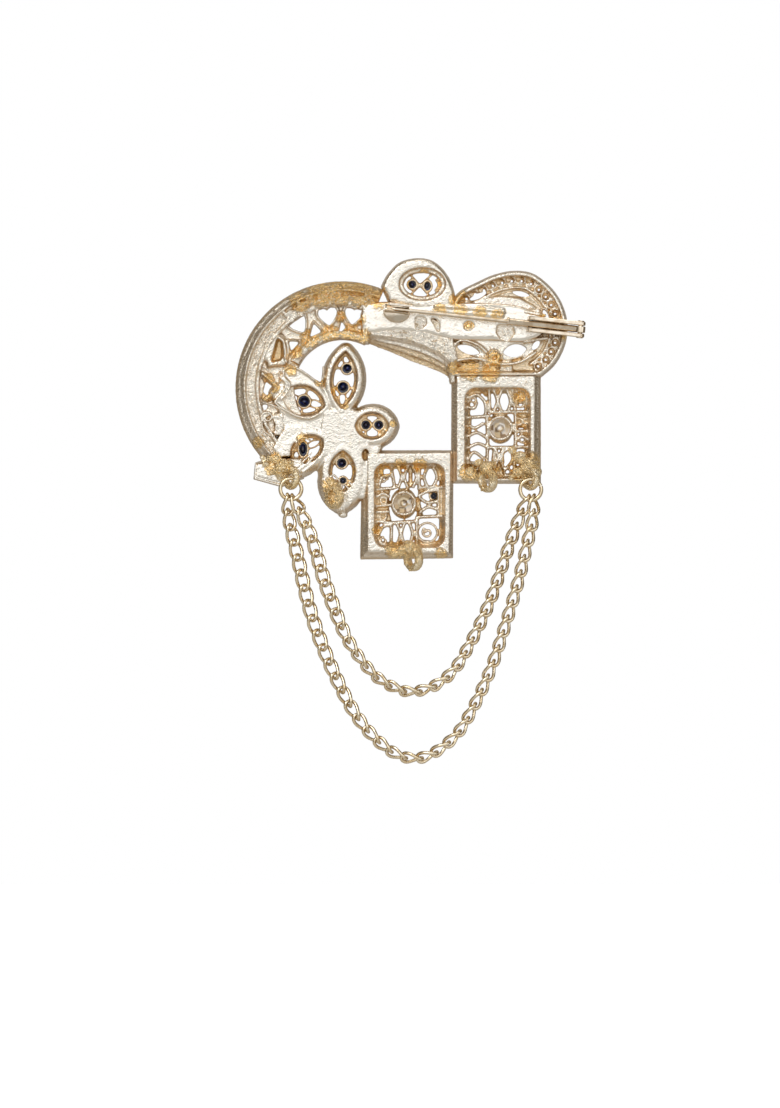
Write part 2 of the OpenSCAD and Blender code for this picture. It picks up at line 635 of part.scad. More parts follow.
function soft(v) = sign(v) * pow(abs(v), 0.8);
function wire_spot(place, side) = [place[0] + side * eye_apart, bail_y,
    place[1] - sqrt(ring_mid * ring_mid - eye_apart * eye_apart)];
function route(table, fall, side) = let (
    from = wire_spot(ring_left, -side),
    to = wire_spot(ring_right, side)) spline(concat([from],
    [for (p = table) [mix(from[0], to[0], p[0]), bail_y + side * chain_apart * (1 - 2 * p[0]),
        mix(from[2], to[2], p[0]) - p[1] * fall]],
    [to]), 6);
function on_route(p, run, s) = [for (axis = [0 : 2]) at(p, run, s, axis)];

// One link's wire line in its own frame, x along the chain
function link_spot(j, roll) = let (
    turn = 360 * j / link_steps,
    x = link_reach * soft(cos(turn)),
    y = link_half * soft(sin(turn)),
    lean = roll + link_twist * x / link_reach) [x, y * cos(lean), y * sin(lean)];
function link_side(j, roll) = let (
    x = link_reach * soft(cos(360 * j / link_steps)),
    lean = roll + link_twist * x / link_reach) [0, -sin(lean), cos(lean)];
function link_ring(j, roll) = let (
    here = link_spot(j, roll),
    along = unit(link_spot(j + 1, roll) - link_spot(j - 1, roll)),
    flat = link_side(j, roll),
    up = unit(flat - (flat * along) * along),
    out = cross(along, up)) [
    for (k = [0 : wire_sides - 1])
        let (a = 360 * (k + 0.5) / wire_sides)
            here + link_wire / 2 * (cos(a) * up + sin(a) * out)];
function placed(p, c, ex, ey, ez) = c + p[0] * ex + p[1] * ey + p[2] * ez;
function link_points(c, ex, roll) = let (
    ey = unit(cross([0, 1, 0], ex)),
    ez = cross(ex, ey)) [
    for (j = [0 : link_steps - 1], p = link_ring(j, roll)) placed(p, c, ex, ey, ez)];
function link_faces(base) = [
    for (j = [0 : link_steps - 1], k = [0 : wire_sides - 1])
        let (
            j2 = (j + 1) % link_steps,
            k2 = (k + 1) % wire_sides,
            a = base + j * wire_sides + k,
            b = base + j * wire_sides + k2,
            c = base + j2 * wire_sides + k2,
            d = base + j2 * wire_sides + k)
            each [[a, b, c], [a, c, d]]];

module chain(table, rolls, fall, side) color(gold) {
    path = route(table, fall, side);
    run = lengths(path);
    total = run[len(run) - 1] - 2 * hook;
    count = round(total / link_pitch) + 1;
    step = total / (count - 1);
    points = [for (i = [0 : count - 1])
        let (
            s = hook + i * step,
            c = on_route(path, run, s),
            ex = unit(on_route(path, run, s + step / 2) - on_route(path, run, s - step / 2)),
            roll = lookup(i / (count - 1), rolls))
            each link_points(c, ex, roll)];
    faces = [for (i = [0 : count - 1]) each link_faces(i * link_steps * wire_sides)];
    polyhedron(points = points, faces = faces, convexity = 10);
}
module chain_outer() chain(OUTER_ROUTE, OUTER_ROLL, outer_drop, 1);
module chain_inner() chain(INNER_ROUTE, INNER_ROLL, inner_drop, -1);

frame();
pin_stem();
stone_petal_left();
stone_petal_upper_high();
stone_petal_upper_low();
stone_petal_right_near();
stone_petal_right_far();
stone_petal_lower_high();
stone_petal_lower_low();
stone_petal_corner();
stone_top_left();
stone_top_right();
stone_tile();
crystal_tile_middle();
crystal_tile_right();
jump_ring_left();
jump_ring_right();
chain_inner();
chain_outer();
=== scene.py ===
"""A gold openwork brooch with two chain swags, dressed for its looks and seen from its back."""

import logging
import math
import random
from dataclasses import dataclass, field
from enum import Enum
from typing import Callable, Sequence

import bpy
import numpy as np
from mathutils import Matrix, Vector
from mathutils.bvhtree import BVHTree


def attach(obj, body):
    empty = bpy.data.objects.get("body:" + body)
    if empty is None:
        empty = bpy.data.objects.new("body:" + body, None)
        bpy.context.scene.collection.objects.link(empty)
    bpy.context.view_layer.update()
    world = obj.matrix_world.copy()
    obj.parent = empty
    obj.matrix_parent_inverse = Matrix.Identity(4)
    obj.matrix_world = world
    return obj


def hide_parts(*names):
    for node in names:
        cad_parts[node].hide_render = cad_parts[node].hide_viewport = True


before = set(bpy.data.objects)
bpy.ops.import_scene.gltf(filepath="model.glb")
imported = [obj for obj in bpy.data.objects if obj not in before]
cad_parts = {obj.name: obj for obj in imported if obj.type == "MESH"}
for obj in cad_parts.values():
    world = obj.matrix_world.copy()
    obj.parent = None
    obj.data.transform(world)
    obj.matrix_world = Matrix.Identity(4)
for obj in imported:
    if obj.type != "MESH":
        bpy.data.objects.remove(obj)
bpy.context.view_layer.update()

LOG = logging.getLogger("brooch")
BODY = "brooch"
PIN_BODY = "pin"
UNIT = 0.18  # millimetres to a unit of the drawing
MM = 0.001  # metres to a millimetre
DRAWING = (780, 1108)  # width and height of the drawing
PIN_MIDDLE = (485.0, 320.0)  # the origin's place on the drawing
WAVES = 0.45  # width of the waves in a cast skin
SKEW = (0.36, 0.48, 0.8)  # a direction that no face of a piece looks along
LIFT = 0.06  # how far over a face the look round it starts
FLAT_SHARE = 0.25  # how much of a pocket's painted shade its flat floor takes
WALL_POWER, BARE_POWER = 0.8, 1.2  # how quickly a slope counts as a wall with painted shade, on castings and on the rest
GILT_FALL = 1.5  # how steeply the thick plating ends

Point = tuple[float, float]
Place = tuple[float, float, float]
Piece = bpy.types.Object
Node = bpy.types.Node


class Level(Enum):
    """Depths of the casting along Y in millimetres, from its back to its front."""

    BACK = 3.0
    FLOOR = 4.9
    FRONT = 6.0
    RELIEF = 6.6


BACK, FLOOR, FRONT, RELIEF = (level.value for level in Level)

# Places on the drawing where the plating is thick and yellow, each with its reach
GILT = [(300, 302, 14), (320, 294, 18), (340, 291, 20), (360, 293, 18), (378, 299, 13), (310, 339, 13), (330, 334, 13),
        (350, 333, 13), (363, 336, 10), (296, 352, 9), (341, 316, 8), (361, 320, 7), (269, 379, 8), (275, 388, 7),
        (267, 397, 7), (303, 439, 8), (258, 443, 8), (275, 460, 10), (283, 468, 13), (270, 470, 7), (330, 486, 11),
        (335, 498, 12), (352, 470, 6), (335, 391, 6), (345, 405, 6), (291, 370, 8), (319, 382, 6), (400, 467, 10),
        (420, 466, 10), (385, 470, 9), (378, 530, 8), (395, 550, 13), (411, 549, 13), (441, 554, 8), (468, 472, 12),
        (490, 470, 12), (520, 470, 16), (532, 461, 12), (509, 460, 9), (519, 397, 9), (470, 370, 14), (490, 372, 14),
        (455, 368, 10), (494, 358, 11), (545, 320, 10), (556, 321, 8), (565, 335, 8), (461, 295, 8), (455, 300, 9),
        (440, 310, 8), (460, 311, 9), (480, 313, 9), (497, 315, 8), (468.5, 325.5, 5.5), (320, 355, 7), (424, 273, 6),
        (437, 285, 6), (407, 284, 5), (369, 424, 5), (393, 424, 5)]


# --- places and outlines ---


def spot(px: float, py: float) -> Point:
    """Turn a place on the drawing, in its units, into millimetres from the pin's middle.

    Args:
        px: units from the drawing's left edge.
        py: units from its top edge.

    Returns:
        The X and Z of the place in millimetres.
    """
    return ((px - PIN_MIDDLE[0]) * UNIT, (PIN_MIDDLE[1] - py) * UNIT)


def spots(*pairs: Point) -> list[Point]:
    """Turn several places on the drawing into millimetres."""
    return [spot(px, py) for px, py in pairs]


def polar(centre: Point, radius: float, angle: float) -> Point:
    """Give the place at a radius and an angle in degrees round a centre."""
    a = math.radians(angle)
    return (centre[0] + radius * math.cos(a), centre[1] + radius * math.sin(a))


def placed(centre: Point, x: float, z: float, a: float) -> Point:
    """Turn a place round the origin by an angle in radians, and move it from there to a centre."""
    return (centre[0] + x * math.cos(a) - z * math.sin(a), centre[1] + x * math.sin(a) + z * math.cos(a))


def between(near: Sequence[Point], far: Sequence[Point], share: float) -> list[Point]:
    """Give the line that lies a share of the way from one line to another."""
    return [(p[0] + (q[0] - p[0]) * share, p[1] + (q[1] - p[1]) * share) for p, q in zip(near, far)]


def smooth_line(points: Sequence[Sequence[float]], steps: int = 5, closed: bool = False) -> list[tuple[float, ...]]:
    """Run a smooth line through points.

    Args:
        points: places of two or three numbers.
        steps: pieces between each two places.
        closed: whether the line comes back to its start.

    Returns:
        The places on the line.
    """
    n = len(points)
    made: list[tuple[float, ...]] = []
    for i in range(n if closed else n - 1):
        if closed:
            a, b, c, d = (points[(i + k) % n] for k in (-1, 0, 1, 2))
        else:
            a, b, c, d = points[max(i - 1, 0)], points[i], points[i + 1], points[min(i + 2, n - 1)]
        for k in range(steps):
            t = k / steps
            made.append(tuple(
                0.5 * (2 * q + (r - p) * t + (2 * p - 5 * q + 4 * r - s) * t * t + (3 * q - p - 3 * r + s) * t ** 3)
                for p, q, r, s in zip(a, b, c, d)))
    if not closed:
        made.append(tuple(points[-1]))
    return made


def area_of(outline: Sequence[Point]) -> float:
    """Give the signed area of an outline."""
    return 0.5 * sum(a[0] * b[1] - b[0] * a[1] for a, b in zip(outline, [*outline[1:], outline[0]]))


def counter(outline: Sequence[Point]) -> list[Point]:
    """Give an outline that runs counter-clockwise."""
    return list(outline) if area_of(outline) > 0 else list(reversed(outline))


def inset(outline: Sequence[Point], depth: float) -> list[Point]:
    """Move each corner of a counter-clockwise outline inwards.

    Args:
        outline: the corners.
        depth: how far its sides move in; negative moves them out.

    Returns:
        The moved corners, in the same order.
    """
    n = len(outline)
    made = []
    for i in range(n):
        p, q, r = Vector(outline[i - 1]), Vector(outline[i]), Vector(outline[(i + 1) % n])
        a, b = (q - p).normalized(), (r - q).normalized()
        normal = Vector((-a.y - b.y, a.x + b.x))
        if normal.length < 1e-6:
            normal = Vector((-a.y, a.x))
        normal.normalize()
        stretch = 1.0 / max(0.5, normal.dot(Vector((-a.y, a.x))))
        made.append(tuple(q + normal * depth * stretch))
    return made


def lens(centre: Point, length: float, width: float, turn: float, steps: int = 12) -> list[Point]:
    """Draw a lens between two arcs.

    Args:
        centre: its middle.
        length: from tip to tip.
        width: across the middle.
        turn: direction of its length in degrees.
        steps: pieces of each arc.

    Returns:
        The outline, counter-clockwise.
    """
    radius = (length ** 2 + width ** 2) / (4 * width)
    half = math.asin(min(1.0, length / (2 * radius)))
    a = math.radians(turn)
    made = []
    for side in (1, -1):
        for i in range(steps):
            t = half * (1 - 2 * i / steps)
            x, z = side * radius * math.sin(t), side * (radius * math.cos(t) - radius + width / 2)
            made.append(placed(centre, x, z, a))
    return counter(made)


def grown(outline: Sequence[Point], by: float, steps: int = 40) -> list[Point]:
    """Give the round-cornered outline that lies a distance outside a convex one.

    Args:
        outline: a convex outline.
        by: the distance.
        steps: directions that it is worked out for.

    Returns:
        The grown outline, counter-clockwise.
    """
    made = []
    for i in range(steps):
        a = 2 * math.pi * i / steps
        d = (math.cos(a), math.sin(a))
        far = max(outline, key=lambda p: p[0] * d[0] + p[1] * d[1])
        made.append((far[0] + by * d[0], far[1] + by * d[1]))
    return made


def oval(centre: Point, wide: float, tall: float, steps: int = 24, turn: float = 0.0) -> list[Point]:
    """Draw an oval of a width and a height, turned by some degrees.

    Args:
        centre: its middle.
        wide: along X before its turn.
        tall: along Z before its turn.
        steps: number of its corners.
        turn: its turn in degrees.

    Returns:
        The outline, counter-clockwise.
    """
    a = math.radians(turn)
    made = []
    for i in range(steps):
        t = 2 * math.pi * i / steps
        x, z = wide / 2 * math.cos(t), tall / 2 * math.sin(t)
        made.append(placed(centre, x, z, a))
    return made


def box_outline(low: Point, high: Point, corner: float = 0.0) -> list[Point]:
    """Draw a rectangle between two corners, rounded by a radius.

    Args:
        low: its lower left corner.
        high: its upper right corner.
        corner: radius of its corners.

    Returns:
        The outline, counter-clockwise.
    """
    if corner <= 0:
        return [low, (high[0], low[1]), high, (low[0], high[1])]
    made: list[Point] = []
    for cx, cz, start in ((high[0] - corner, low[1] + corner, -90), (high[0] - corner, high[1] - corner, 0),
                          (low[0] + corner, high[1] - corner, 90), (low[0] + corner, low[1] + corner, 180)):
        made += [polar((cx, cz), corner, start + 90 * i / 5) for i in range(6)]
    return made


def spiral(centre: Point, radius: float, start: float, turns: float, end: float = 0.25) -> list[Point]:
    """Draw a scroll that winds inwards.

    Args:
        centre: its eye.
        radius: at its outer end.
        start: angle of the outer end in degrees.
        turns: number of turns; negative winds clockwise.
        end: radius at the eye as a share of the outer one.

    Returns:
        The places on it.
    """
    steps = max(10, int(abs(turns) * 18))
    return [polar(centre, radius * (1 + (end - 1) * i / steps), start + 360 * turns * i / steps)
            for i in range(steps + 1)]


# --- the bench: pieces made with Blender's own tools ---


def clear_selection() -> None:
    """Leave edit mode and deselect everything."""
    if bpy.context.object and bpy.context.object.mode != "OBJECT":
        bpy.ops.object.mode_set(mode="OBJECT")
    bpy.ops.object.select_all(action="DESELECT")


def take(*pieces: Piece) -> Piece:
    """Select only these pieces and make the first one active.

    Args:
        pieces: the pieces.

    Returns:
        The first of them.
    """
    clear_selection()
    for piece in pieces:
        piece.select_set(True)
    bpy.context.view_layer.objects.active = pieces[0]
    return pieces[0]


def joined(pieces: Sequence[Piece]) -> Piece:
    """Join pieces into the first one.

    Args:
        pieces: the pieces; all but the first are used up.

    Returns:
        The joined piece.
    """
    take(*pieces)
    if len(pieces) > 1:
        bpy.ops.object.join()
    return bpy.context.object


def edit_all() -> None:
    """Enter edit mode with everything selected."""
    bpy.ops.object.mode_set(mode="EDIT")
    bpy.ops.mesh.select_all(action="SELECT")


def face_outwards() -> None:
    """Turn all faces of the active piece outwards."""
    edit_all()
    bpy.ops.mesh.normals_make_consistent(inside=False)
    bpy.ops.object.mode_set(mode="OBJECT")


def filled_circle(corners: int) -> Piece:
    """Make a filled circle, whose corners are then moved.

    Args:
        corners: number of its corners.

    Returns:
        The circle.
    """
    clear_selection()
    bpy.ops.mesh.primitive_circle_add(vertices=corners, radius=1.0, fill_type="NGON")
    return bpy.context.object


def loft(outline: Sequence[Point], levels: Sequence[tuple[float, float]]) -> Piece:
    """Make a solid plate from an outline, through levels along Y with an inset each.

    Args:
        outline: X and Z of the corners in millimetres.
        levels: Y and inset of each level, from the front to the back.

    Returns:
        The closed plate.
    """
    ring = counter(outline)
    plate = filled_circle(len(ring))
    mesh = plate.data
    place = inset(ring, levels[0][1]) if levels[0][1] else ring
    for vertex, (x, z) in zip(mesh.vertices, place):
        vertex.co = (x, levels[0][0], z)
    count = len(ring)
    edit_all()
    for i in range(1, len(levels)):
        bpy.ops.mesh.extrude_region_move(TRANSFORM_OT_translate={"value": (0, levels[i][0] - levels[i - 1][0], 0)})
    bpy.ops.object.mode_set(mode="OBJECT")
    by_place = {(round(x, 4), round(z, 4)): k for k, (x, z) in enumerate(place)}
    insets = {round(y, 3): by for y, by in levels}
    rings = {y: inset(ring, by) if by else ring for y, by in insets.items()}
    for vertex in mesh.vertices[count:]:
        k = by_place.get((round(vertex.co.x, 4), round(vertex.co.z, 4)))
        spot_at = rings.get(round(vertex.co.y, 3))
        if k is not None and spot_at is not None:
            vertex.co.x, vertex.co.z = spot_at[k]
    face_outwards()
    return plate


def plate(outline: Sequence[Point], back: float, front: float, taper: float = 0.0,
          round_by: float = 0.0) -> Piece:
    """Make a plate between two levels, narrower at its back by a taper, with a broken back edge.

    Args:
        outline: X and Z of the corners.
        back: Y of its back.
        front: Y of its front.
        taper: how much narrower its back is all round.
        round_by: size of the broken edge.

    Returns:
        The plate.
    """
    if round_by:
        return loft(outline, [(front, 0.0), (back + round_by, taper), (back, taper + round_by)])
    return loft(outline, [(front, 0.0), (back, taper)])


def wire(path: Sequence[Sequence[float]], y: float, radius: float, deep: float = 1.0,
         closed: bool = False) -> Piece:
    """Lay a wire along a line.

    Args:
        path: X and Z, or X, Y and Z, of the line's places.
        y: its level where the places have none.
        radius: half its width.
        deep: its depth along Y as a share of its width.
        closed: whether it ends where it starts.

    Returns:
        The wire as a closed mesh.
    """
    clear_selection()
    curve = bpy.data.curves.new("wire", "CURVE")
    curve.dimensions = "3D"
    curve.bevel_depth = radius
    curve.bevel_resolution = 2
    curve.use_fill_caps = True
    line = curve.splines.new("POLY")
    line.points.add(len(path) - 1)
    for point, place in zip(line.points, path):
        x, where, z = (place[0], y, place[1]) if len(place) == 2 else place
        point.co = (x, where, z, 1.0)
    line.use_cyclic_u = closed
    piece = bpy.data.objects.new("wire", curve)
    bpy.context.scene.collection.objects.link(piece)
    take(piece)
    bpy.ops.object.convert(target="MESH")
    piece = bpy.context.object
    if deep != 1.0:
        for vertex in piece.data.vertices:
            vertex.co.y = y + (vertex.co.y - y) * deep
    return piece


def ball(at: Place, radius: float, deep: float = 1.0) -> Piece:
    """Set a ball, flattened along Y by a share.

    Args:
        at: its middle.
        radius: its radius.
        deep: the share of its depth that is kept.

    Returns:
        The ball.
    """
    clear_selection()
    bpy.ops.mesh.primitive_ico_sphere_add(subdivisions=2, radius=radius, location=at)
    bpy.ops.object.transform_apply(location=True, rotation=True, scale=True)
    piece = bpy.context.object
    for vertex in piece.data.vertices:
        vertex.co.y = at[1] + (vertex.co.y - at[1]) * deep
    return piece


def copies(model: Piece, turns: Sequence[Matrix]) -> Piece:
    """Copy a small piece made round the origin to many places, and join the copies.

    Args:
        model: the piece; it is used up.
        turns: the move of each copy.

    Returns:
        The joined copies.
    """
    made = []
    for turn in turns:
        piece = bpy.data.objects.new("copy", model.data.copy())
        bpy.context.scene.collection.objects.link(piece)
        piece.data.transform(turn)
        made.append(piece)
    bpy.data.objects.remove(model)
    return joined(made)


def grains(places: Sequence[Place], radius: float, seed: int) -> Piece:
    """Scatter small grains of about one radius over places.

    Args:
        places: middles of the grains.
        radius: their middle radius.
        seed: seed of their sizes.

    Returns:
        The grains, joined.
    """
    chance = random.Random(seed)
    clear_selection()
    bpy.ops.mesh.primitive_ico_sphere_add(subdivisions=1, radius=radius)
    model = bpy.context.object
    return copies(model, [Matrix.Translation(at) @ Matrix.Scale(chance.uniform(0.7, 1.3), 4) for at in places])


def apply_modifier(piece: Piece, kind: str, **settings: object) -> None:
    """Add a modifier with these settings and apply it.

    Args:
        piece: the piece.
        kind: the modifier's type.
        settings: its settings by name.
    """
    take(piece)
    modifier = piece.modifiers.new(kind.lower(), kind)
    for name, value in settings.items():
        setattr(modifier, name, value)
    bpy.ops.object.modifier_apply(modifier=modifier.name)


def carve(piece: Piece, tool: Piece) -> None:
    """Cut a tool out of a piece; the tool is used up."""
    apply_modifier(piece, "BOOLEAN", operation="DIFFERENCE", object=tool, solver="MANIFOLD")
    bpy.data.objects.remove(tool)


@dataclass
class Casting:
    """A cast piece in millimetres, fused from solids and then cut.

    Attributes:
        name: name of the finished piece.
        grain: edge of the cells it is fused with.
    """

    name: str
    grain: float = 0.14
    body: Piece | None = None

    def add(self, *pieces: Piece) -> "Casting":
        """Fuse pieces with what is there.

        Args:
            pieces: the solids.

        Returns:
            The casting.
        """
        parts = ([self.body] if self.body else []) + list(pieces)
        self.body = joined(parts)
        self._fuse(self.body)
        return self

    def cut(self, *cutters: Piece) -> "Casting":
        """Cut pieces out of what is there; the cutters may overlap.

        Args:
            cutters: the solids that are cut out.

        Returns:
            The casting.
        """
        tool = joined(cutters)
        self._fuse(tool)
        carve(self.body, tool)
        return self

    def _fuse(self, piece: Piece) -> None:
        """Fuse the overlapping solids of a piece into one skin."""
        apply_modifier(piece, "REMESH", mode="VOXEL", voxel_size=self.grain, adaptivity=0.0)

    def finish(self, finish: "Finish", soften: int = 3, rough: float = 0.03, keep: float = 0.5,
               rides: str = BODY, stands_for: Sequence[str] = ("frame",)) -> Piece:
        """Soften, roughen, thin, dress and hand in the casting.

        Args:
            finish: what it is finished with.
            soften: rounds of smoothing.
            rough: height of the cast skin's waves.
            keep: share of the faces kept.
            rides: the body it rides on.
            stands_for: the solids that it replaces.

        Returns:
            The finished piece.
        """
        piece = self.body
        self._fuse(piece)
        if soften:
            apply_modifier(piece, "SMOOTH", factor=0.5, iterations=soften)
        if rough:
            waves = bpy.data.textures.new(self.name + "_waves", "CLOUDS")
            waves.noise_scale, waves.noise_depth = WAVES, 2
            apply_modifier(piece, "DISPLACE", texture=waves, strength=rough * 2, mid_level=0.5)
        if keep < 1:
            apply_modifier(piece, "DECIMATE", ratio=keep)
        # painted shade in the pockets and on the walls, and the thick gilt, written into the corners
        mark_walls(piece)
        return hand_in(piece, self.name, finish, rides, stands_for)


def mark_walls(piece: Piece, reach: float = 3.2) -> None:
    """Write at each corner its painted shade, from how walled in it is and how far it is a wall open to the side, and
    how gilt it is.

    Args:
        piece: the piece in millimetres.
        reach: how far a wall counts.
    """
    mesh = piece.data
    tree = BVHTree.FromPolygons([v.co for v in mesh.vertices], [tuple(p.vertices) for p in mesh.polygons])
    pocket, outer = [], []
    for vertex in mesh.vertices:
        n = vertex.normal
        a = n.cross(Vector(SKEW)).normalized()
        b = n.cross(a)
        start = vertex.co + LIFT * n
        ways = (n, n + a, n - a, n + b, n - b)
        # share of rays that hit the piece: a baked occlusion for painted shade
        walled = sum(tree.ray_cast(start, way, reach)[0] is not None for way in ways) / len(ways)
        side = 1 - abs(n.y)
        # painted shade in pockets, weaker on their flat floors
        pocket.append(walled * (FLAT_SHARE + (1 - FLAT_SHARE) * side))
        # painted shade on open walls that face sideways
        outer.append(side ** WALL_POWER * (1 - walled))
    place = np.empty(3 * len(mesh.vertices), dtype=np.float32)
    mesh.vertices.foreach_get("co", place)
    place = place.reshape(-1, 3)
    gilt = np.zeros(len(place), dtype=np.float32)
    for px, py, far in GILT:
        x, z = spot(px, py)
        near = 1 - np.hypot(place[:, 0] - x, place[:, 2] - z) / (far * UNIT)
        gilt = np.maximum(gilt, np.clip(near * GILT_FALL, 0, 1))
    for name, values in (("pocket", pocket), ("wall_shade", outer), ("gilt", gilt)):
        mesh.attributes.new(name, "FLOAT", "POINT").data.foreach_set("value", values)


def hand_in(piece: Piece, name: str, finish: "Finish", rides: str, stands_for: Sequence[str],
            angle: float = 50.0) -> Piece:
    """Turn a finished piece into metres, name it, dress it and seat it on its body.

    Args:
        piece: the piece in millimetres.
        name: its name.
        finish: what it is finished with.
        rides: the body it rides on.
        stands_for: the solids that it replaces.
        angle: edges sharper than this stay sharp.

    Returns:
        The piece.
    """
    take(piece)
    bpy.ops.object.transform_apply(location=True, rotation=True, scale=True)
    # painted shade on the sideways faces of pieces that have none written yet
    if "wall_shade" not in piece.data.attributes:
        sides = [(1 - abs(vertex.normal.y)) ** BARE_POWER for vertex in piece.data.vertices]
        piece.data.attributes.new("wall_shade", "FLOAT", "POINT").data.foreach_set("value", sides)
    piece.data.transform(Matrix.Scale(MM, 4))
    piece.name = piece.data.name = name
    bpy.ops.object.shade_smooth_by_angle(angle=math.radians(angle))
    piece.data.materials.clear()
    piece.data.materials.append(finish.material())
    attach(piece, rides)
    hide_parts(*stands_for)
    LOG.info("%s: %d faces", name, len(piece.data.polygons))
    return piece


# --- finishes ---


class Web:
    """A material's nodes, strung together by name."""

    def __init__(self, name: str) -> None:
        """Start an empty material with its shader and output.

        Args:
            name: name of the material.
        """
        self.material = bpy.data.materials.new(name)
        self.material.use_nodes = True
        self.tree = self.material.node_tree
        self.tree.nodes.clear()
        self.shader = self.node("ShaderNodeBsdfPrincipled")
        self.out = self.node("ShaderNodeOutputMaterial")
        self.link(self.shader, "BSDF", self.out, "Surface")
        self.place = self.node("ShaderNodeTexCoord")
        self.scaled = self.node("ShaderNodeMapping", Scale=(1000.0, 1000.0, 1000.0))
        self.link(self.place, "Object", self.scaled, "Vector")

    def node(self, kind: str, **values: object) -> Node:
        """Add a node; names of its inputs set sockets, and other names set settings.

        Args:
            kind: the node's type.
            values: values by the name of a socket or a setting.

        Returns:
            The node.
        """
        made = self.tree.nodes.new(kind)
        for name, value in values.items():
            if name in made.inputs:
                made.inputs[name].default_value = value
            else:
                setattr(made, name, value)
        return made

    def link(self, a: Node, out: str | int, b: Node, into: str | int) -> None:
        """Join an output to an input."""
        self.tree.links.new(a.outputs[out], b.inputs[into])

    def noise(self, scale: float, detail: float = 3.0, rough: float = 0.55) -> Node:
        """Add a noise whose scale is in waves per millimetre.

        Args:
            scale: waves per millimetre.
            detail: layers of finer waves.
            rough: strength of the finer layers.

        Returns:
            The noise.
        """
        made = self.node("ShaderNodeTexNoise", Scale=scale, Detail=detail, Roughness=rough)
        self.link(self.scaled, "Vector", made, "Vector")
        return made

    def span(self, source: Node, out: str | int, low: float, high: float, to_low: float = 0.0,
             to_high: float = 1.0) -> Node:
        """Map a range of values to another, smoothly.

        Args:
            source: node that gives the values.
            out: its output.
            low: value that becomes to_low.
            high: value that becomes to_high.
            to_low: lowest result.
            to_high: highest result.

        Returns:
            The mapping node.
        """
        made = self.node("ShaderNodeMapRange", interpolation_type="SMOOTHSTEP")
        for i, value in enumerate((low, high, to_low, to_high), start=1):
            made.inputs[i].default_value = value
        self.link(source, out, made, 0)
        return made

    def blend(self, share: Node, a: object, b: object) -> Node:
        """Blend a colour, or a node's colour, towards another by a share.

        Args:
            share: node that gives the share.
            a: colour or node at no share.
            b: colour or node at full share.

        Returns:
            The blending node.
        """
        made = self.node("ShaderNodeMix", data_type="RGBA")
        self.tree.links.new(share.outputs[0], made.inputs[0])
        for socket, tone in ((6, a), (7, b)):
            if isinstance(tone, Node):
                self.tree.links.new(tone.outputs[2 if tone.bl_idname == "ShaderNodeMix" else 0], made.inputs[socket])
            else:
                made.inputs[socket].default_value = (*tone, 1.0)
        return made

    def attribute(self, name: str) -> Node:
        """Read a number that the piece carries at its corners."""
        return self.node("ShaderNodeAttribute", attribute_name=name)

    def bump(self, *layers: tuple[Node, str | int, float]) -> None:
        """Raise the surface by layers of a source, its output and a height in millimetres.

        Args:
            layers: source, output and height of each layer.
        """
        last = None
        for source, out, height in layers:
            made = self.node("ShaderNodeBump", Strength=1.0, Distance=height * MM)
            self.link(source, out, made, "Height")
            if last:
                self.link(last, "Normal", made, "Normal")
            last = made
        self.link(last, "Normal", self.shader, "Normal")


Colour = tuple[float, float, float]
_MADE: dict[str, bpy.types.Material] = {}


@dataclass(frozen=True)
class Finish:
    """A finish that a piece is dressed with.

    Attributes:
        name: its name.
        slot: the record's material slot; not used.
    """

    name: str
    slot: str

    def material(self) -> bpy.types.Material:
        """Give the material, made once.

        Returns:
            The material.
        """
        if self.name not in _MADE:
            _MADE[self.name] = self.make()
        return _MADE[self.name]

    def make(self) -> bpy.types.Material:
        """Make the material."""
        raise NotImplementedError


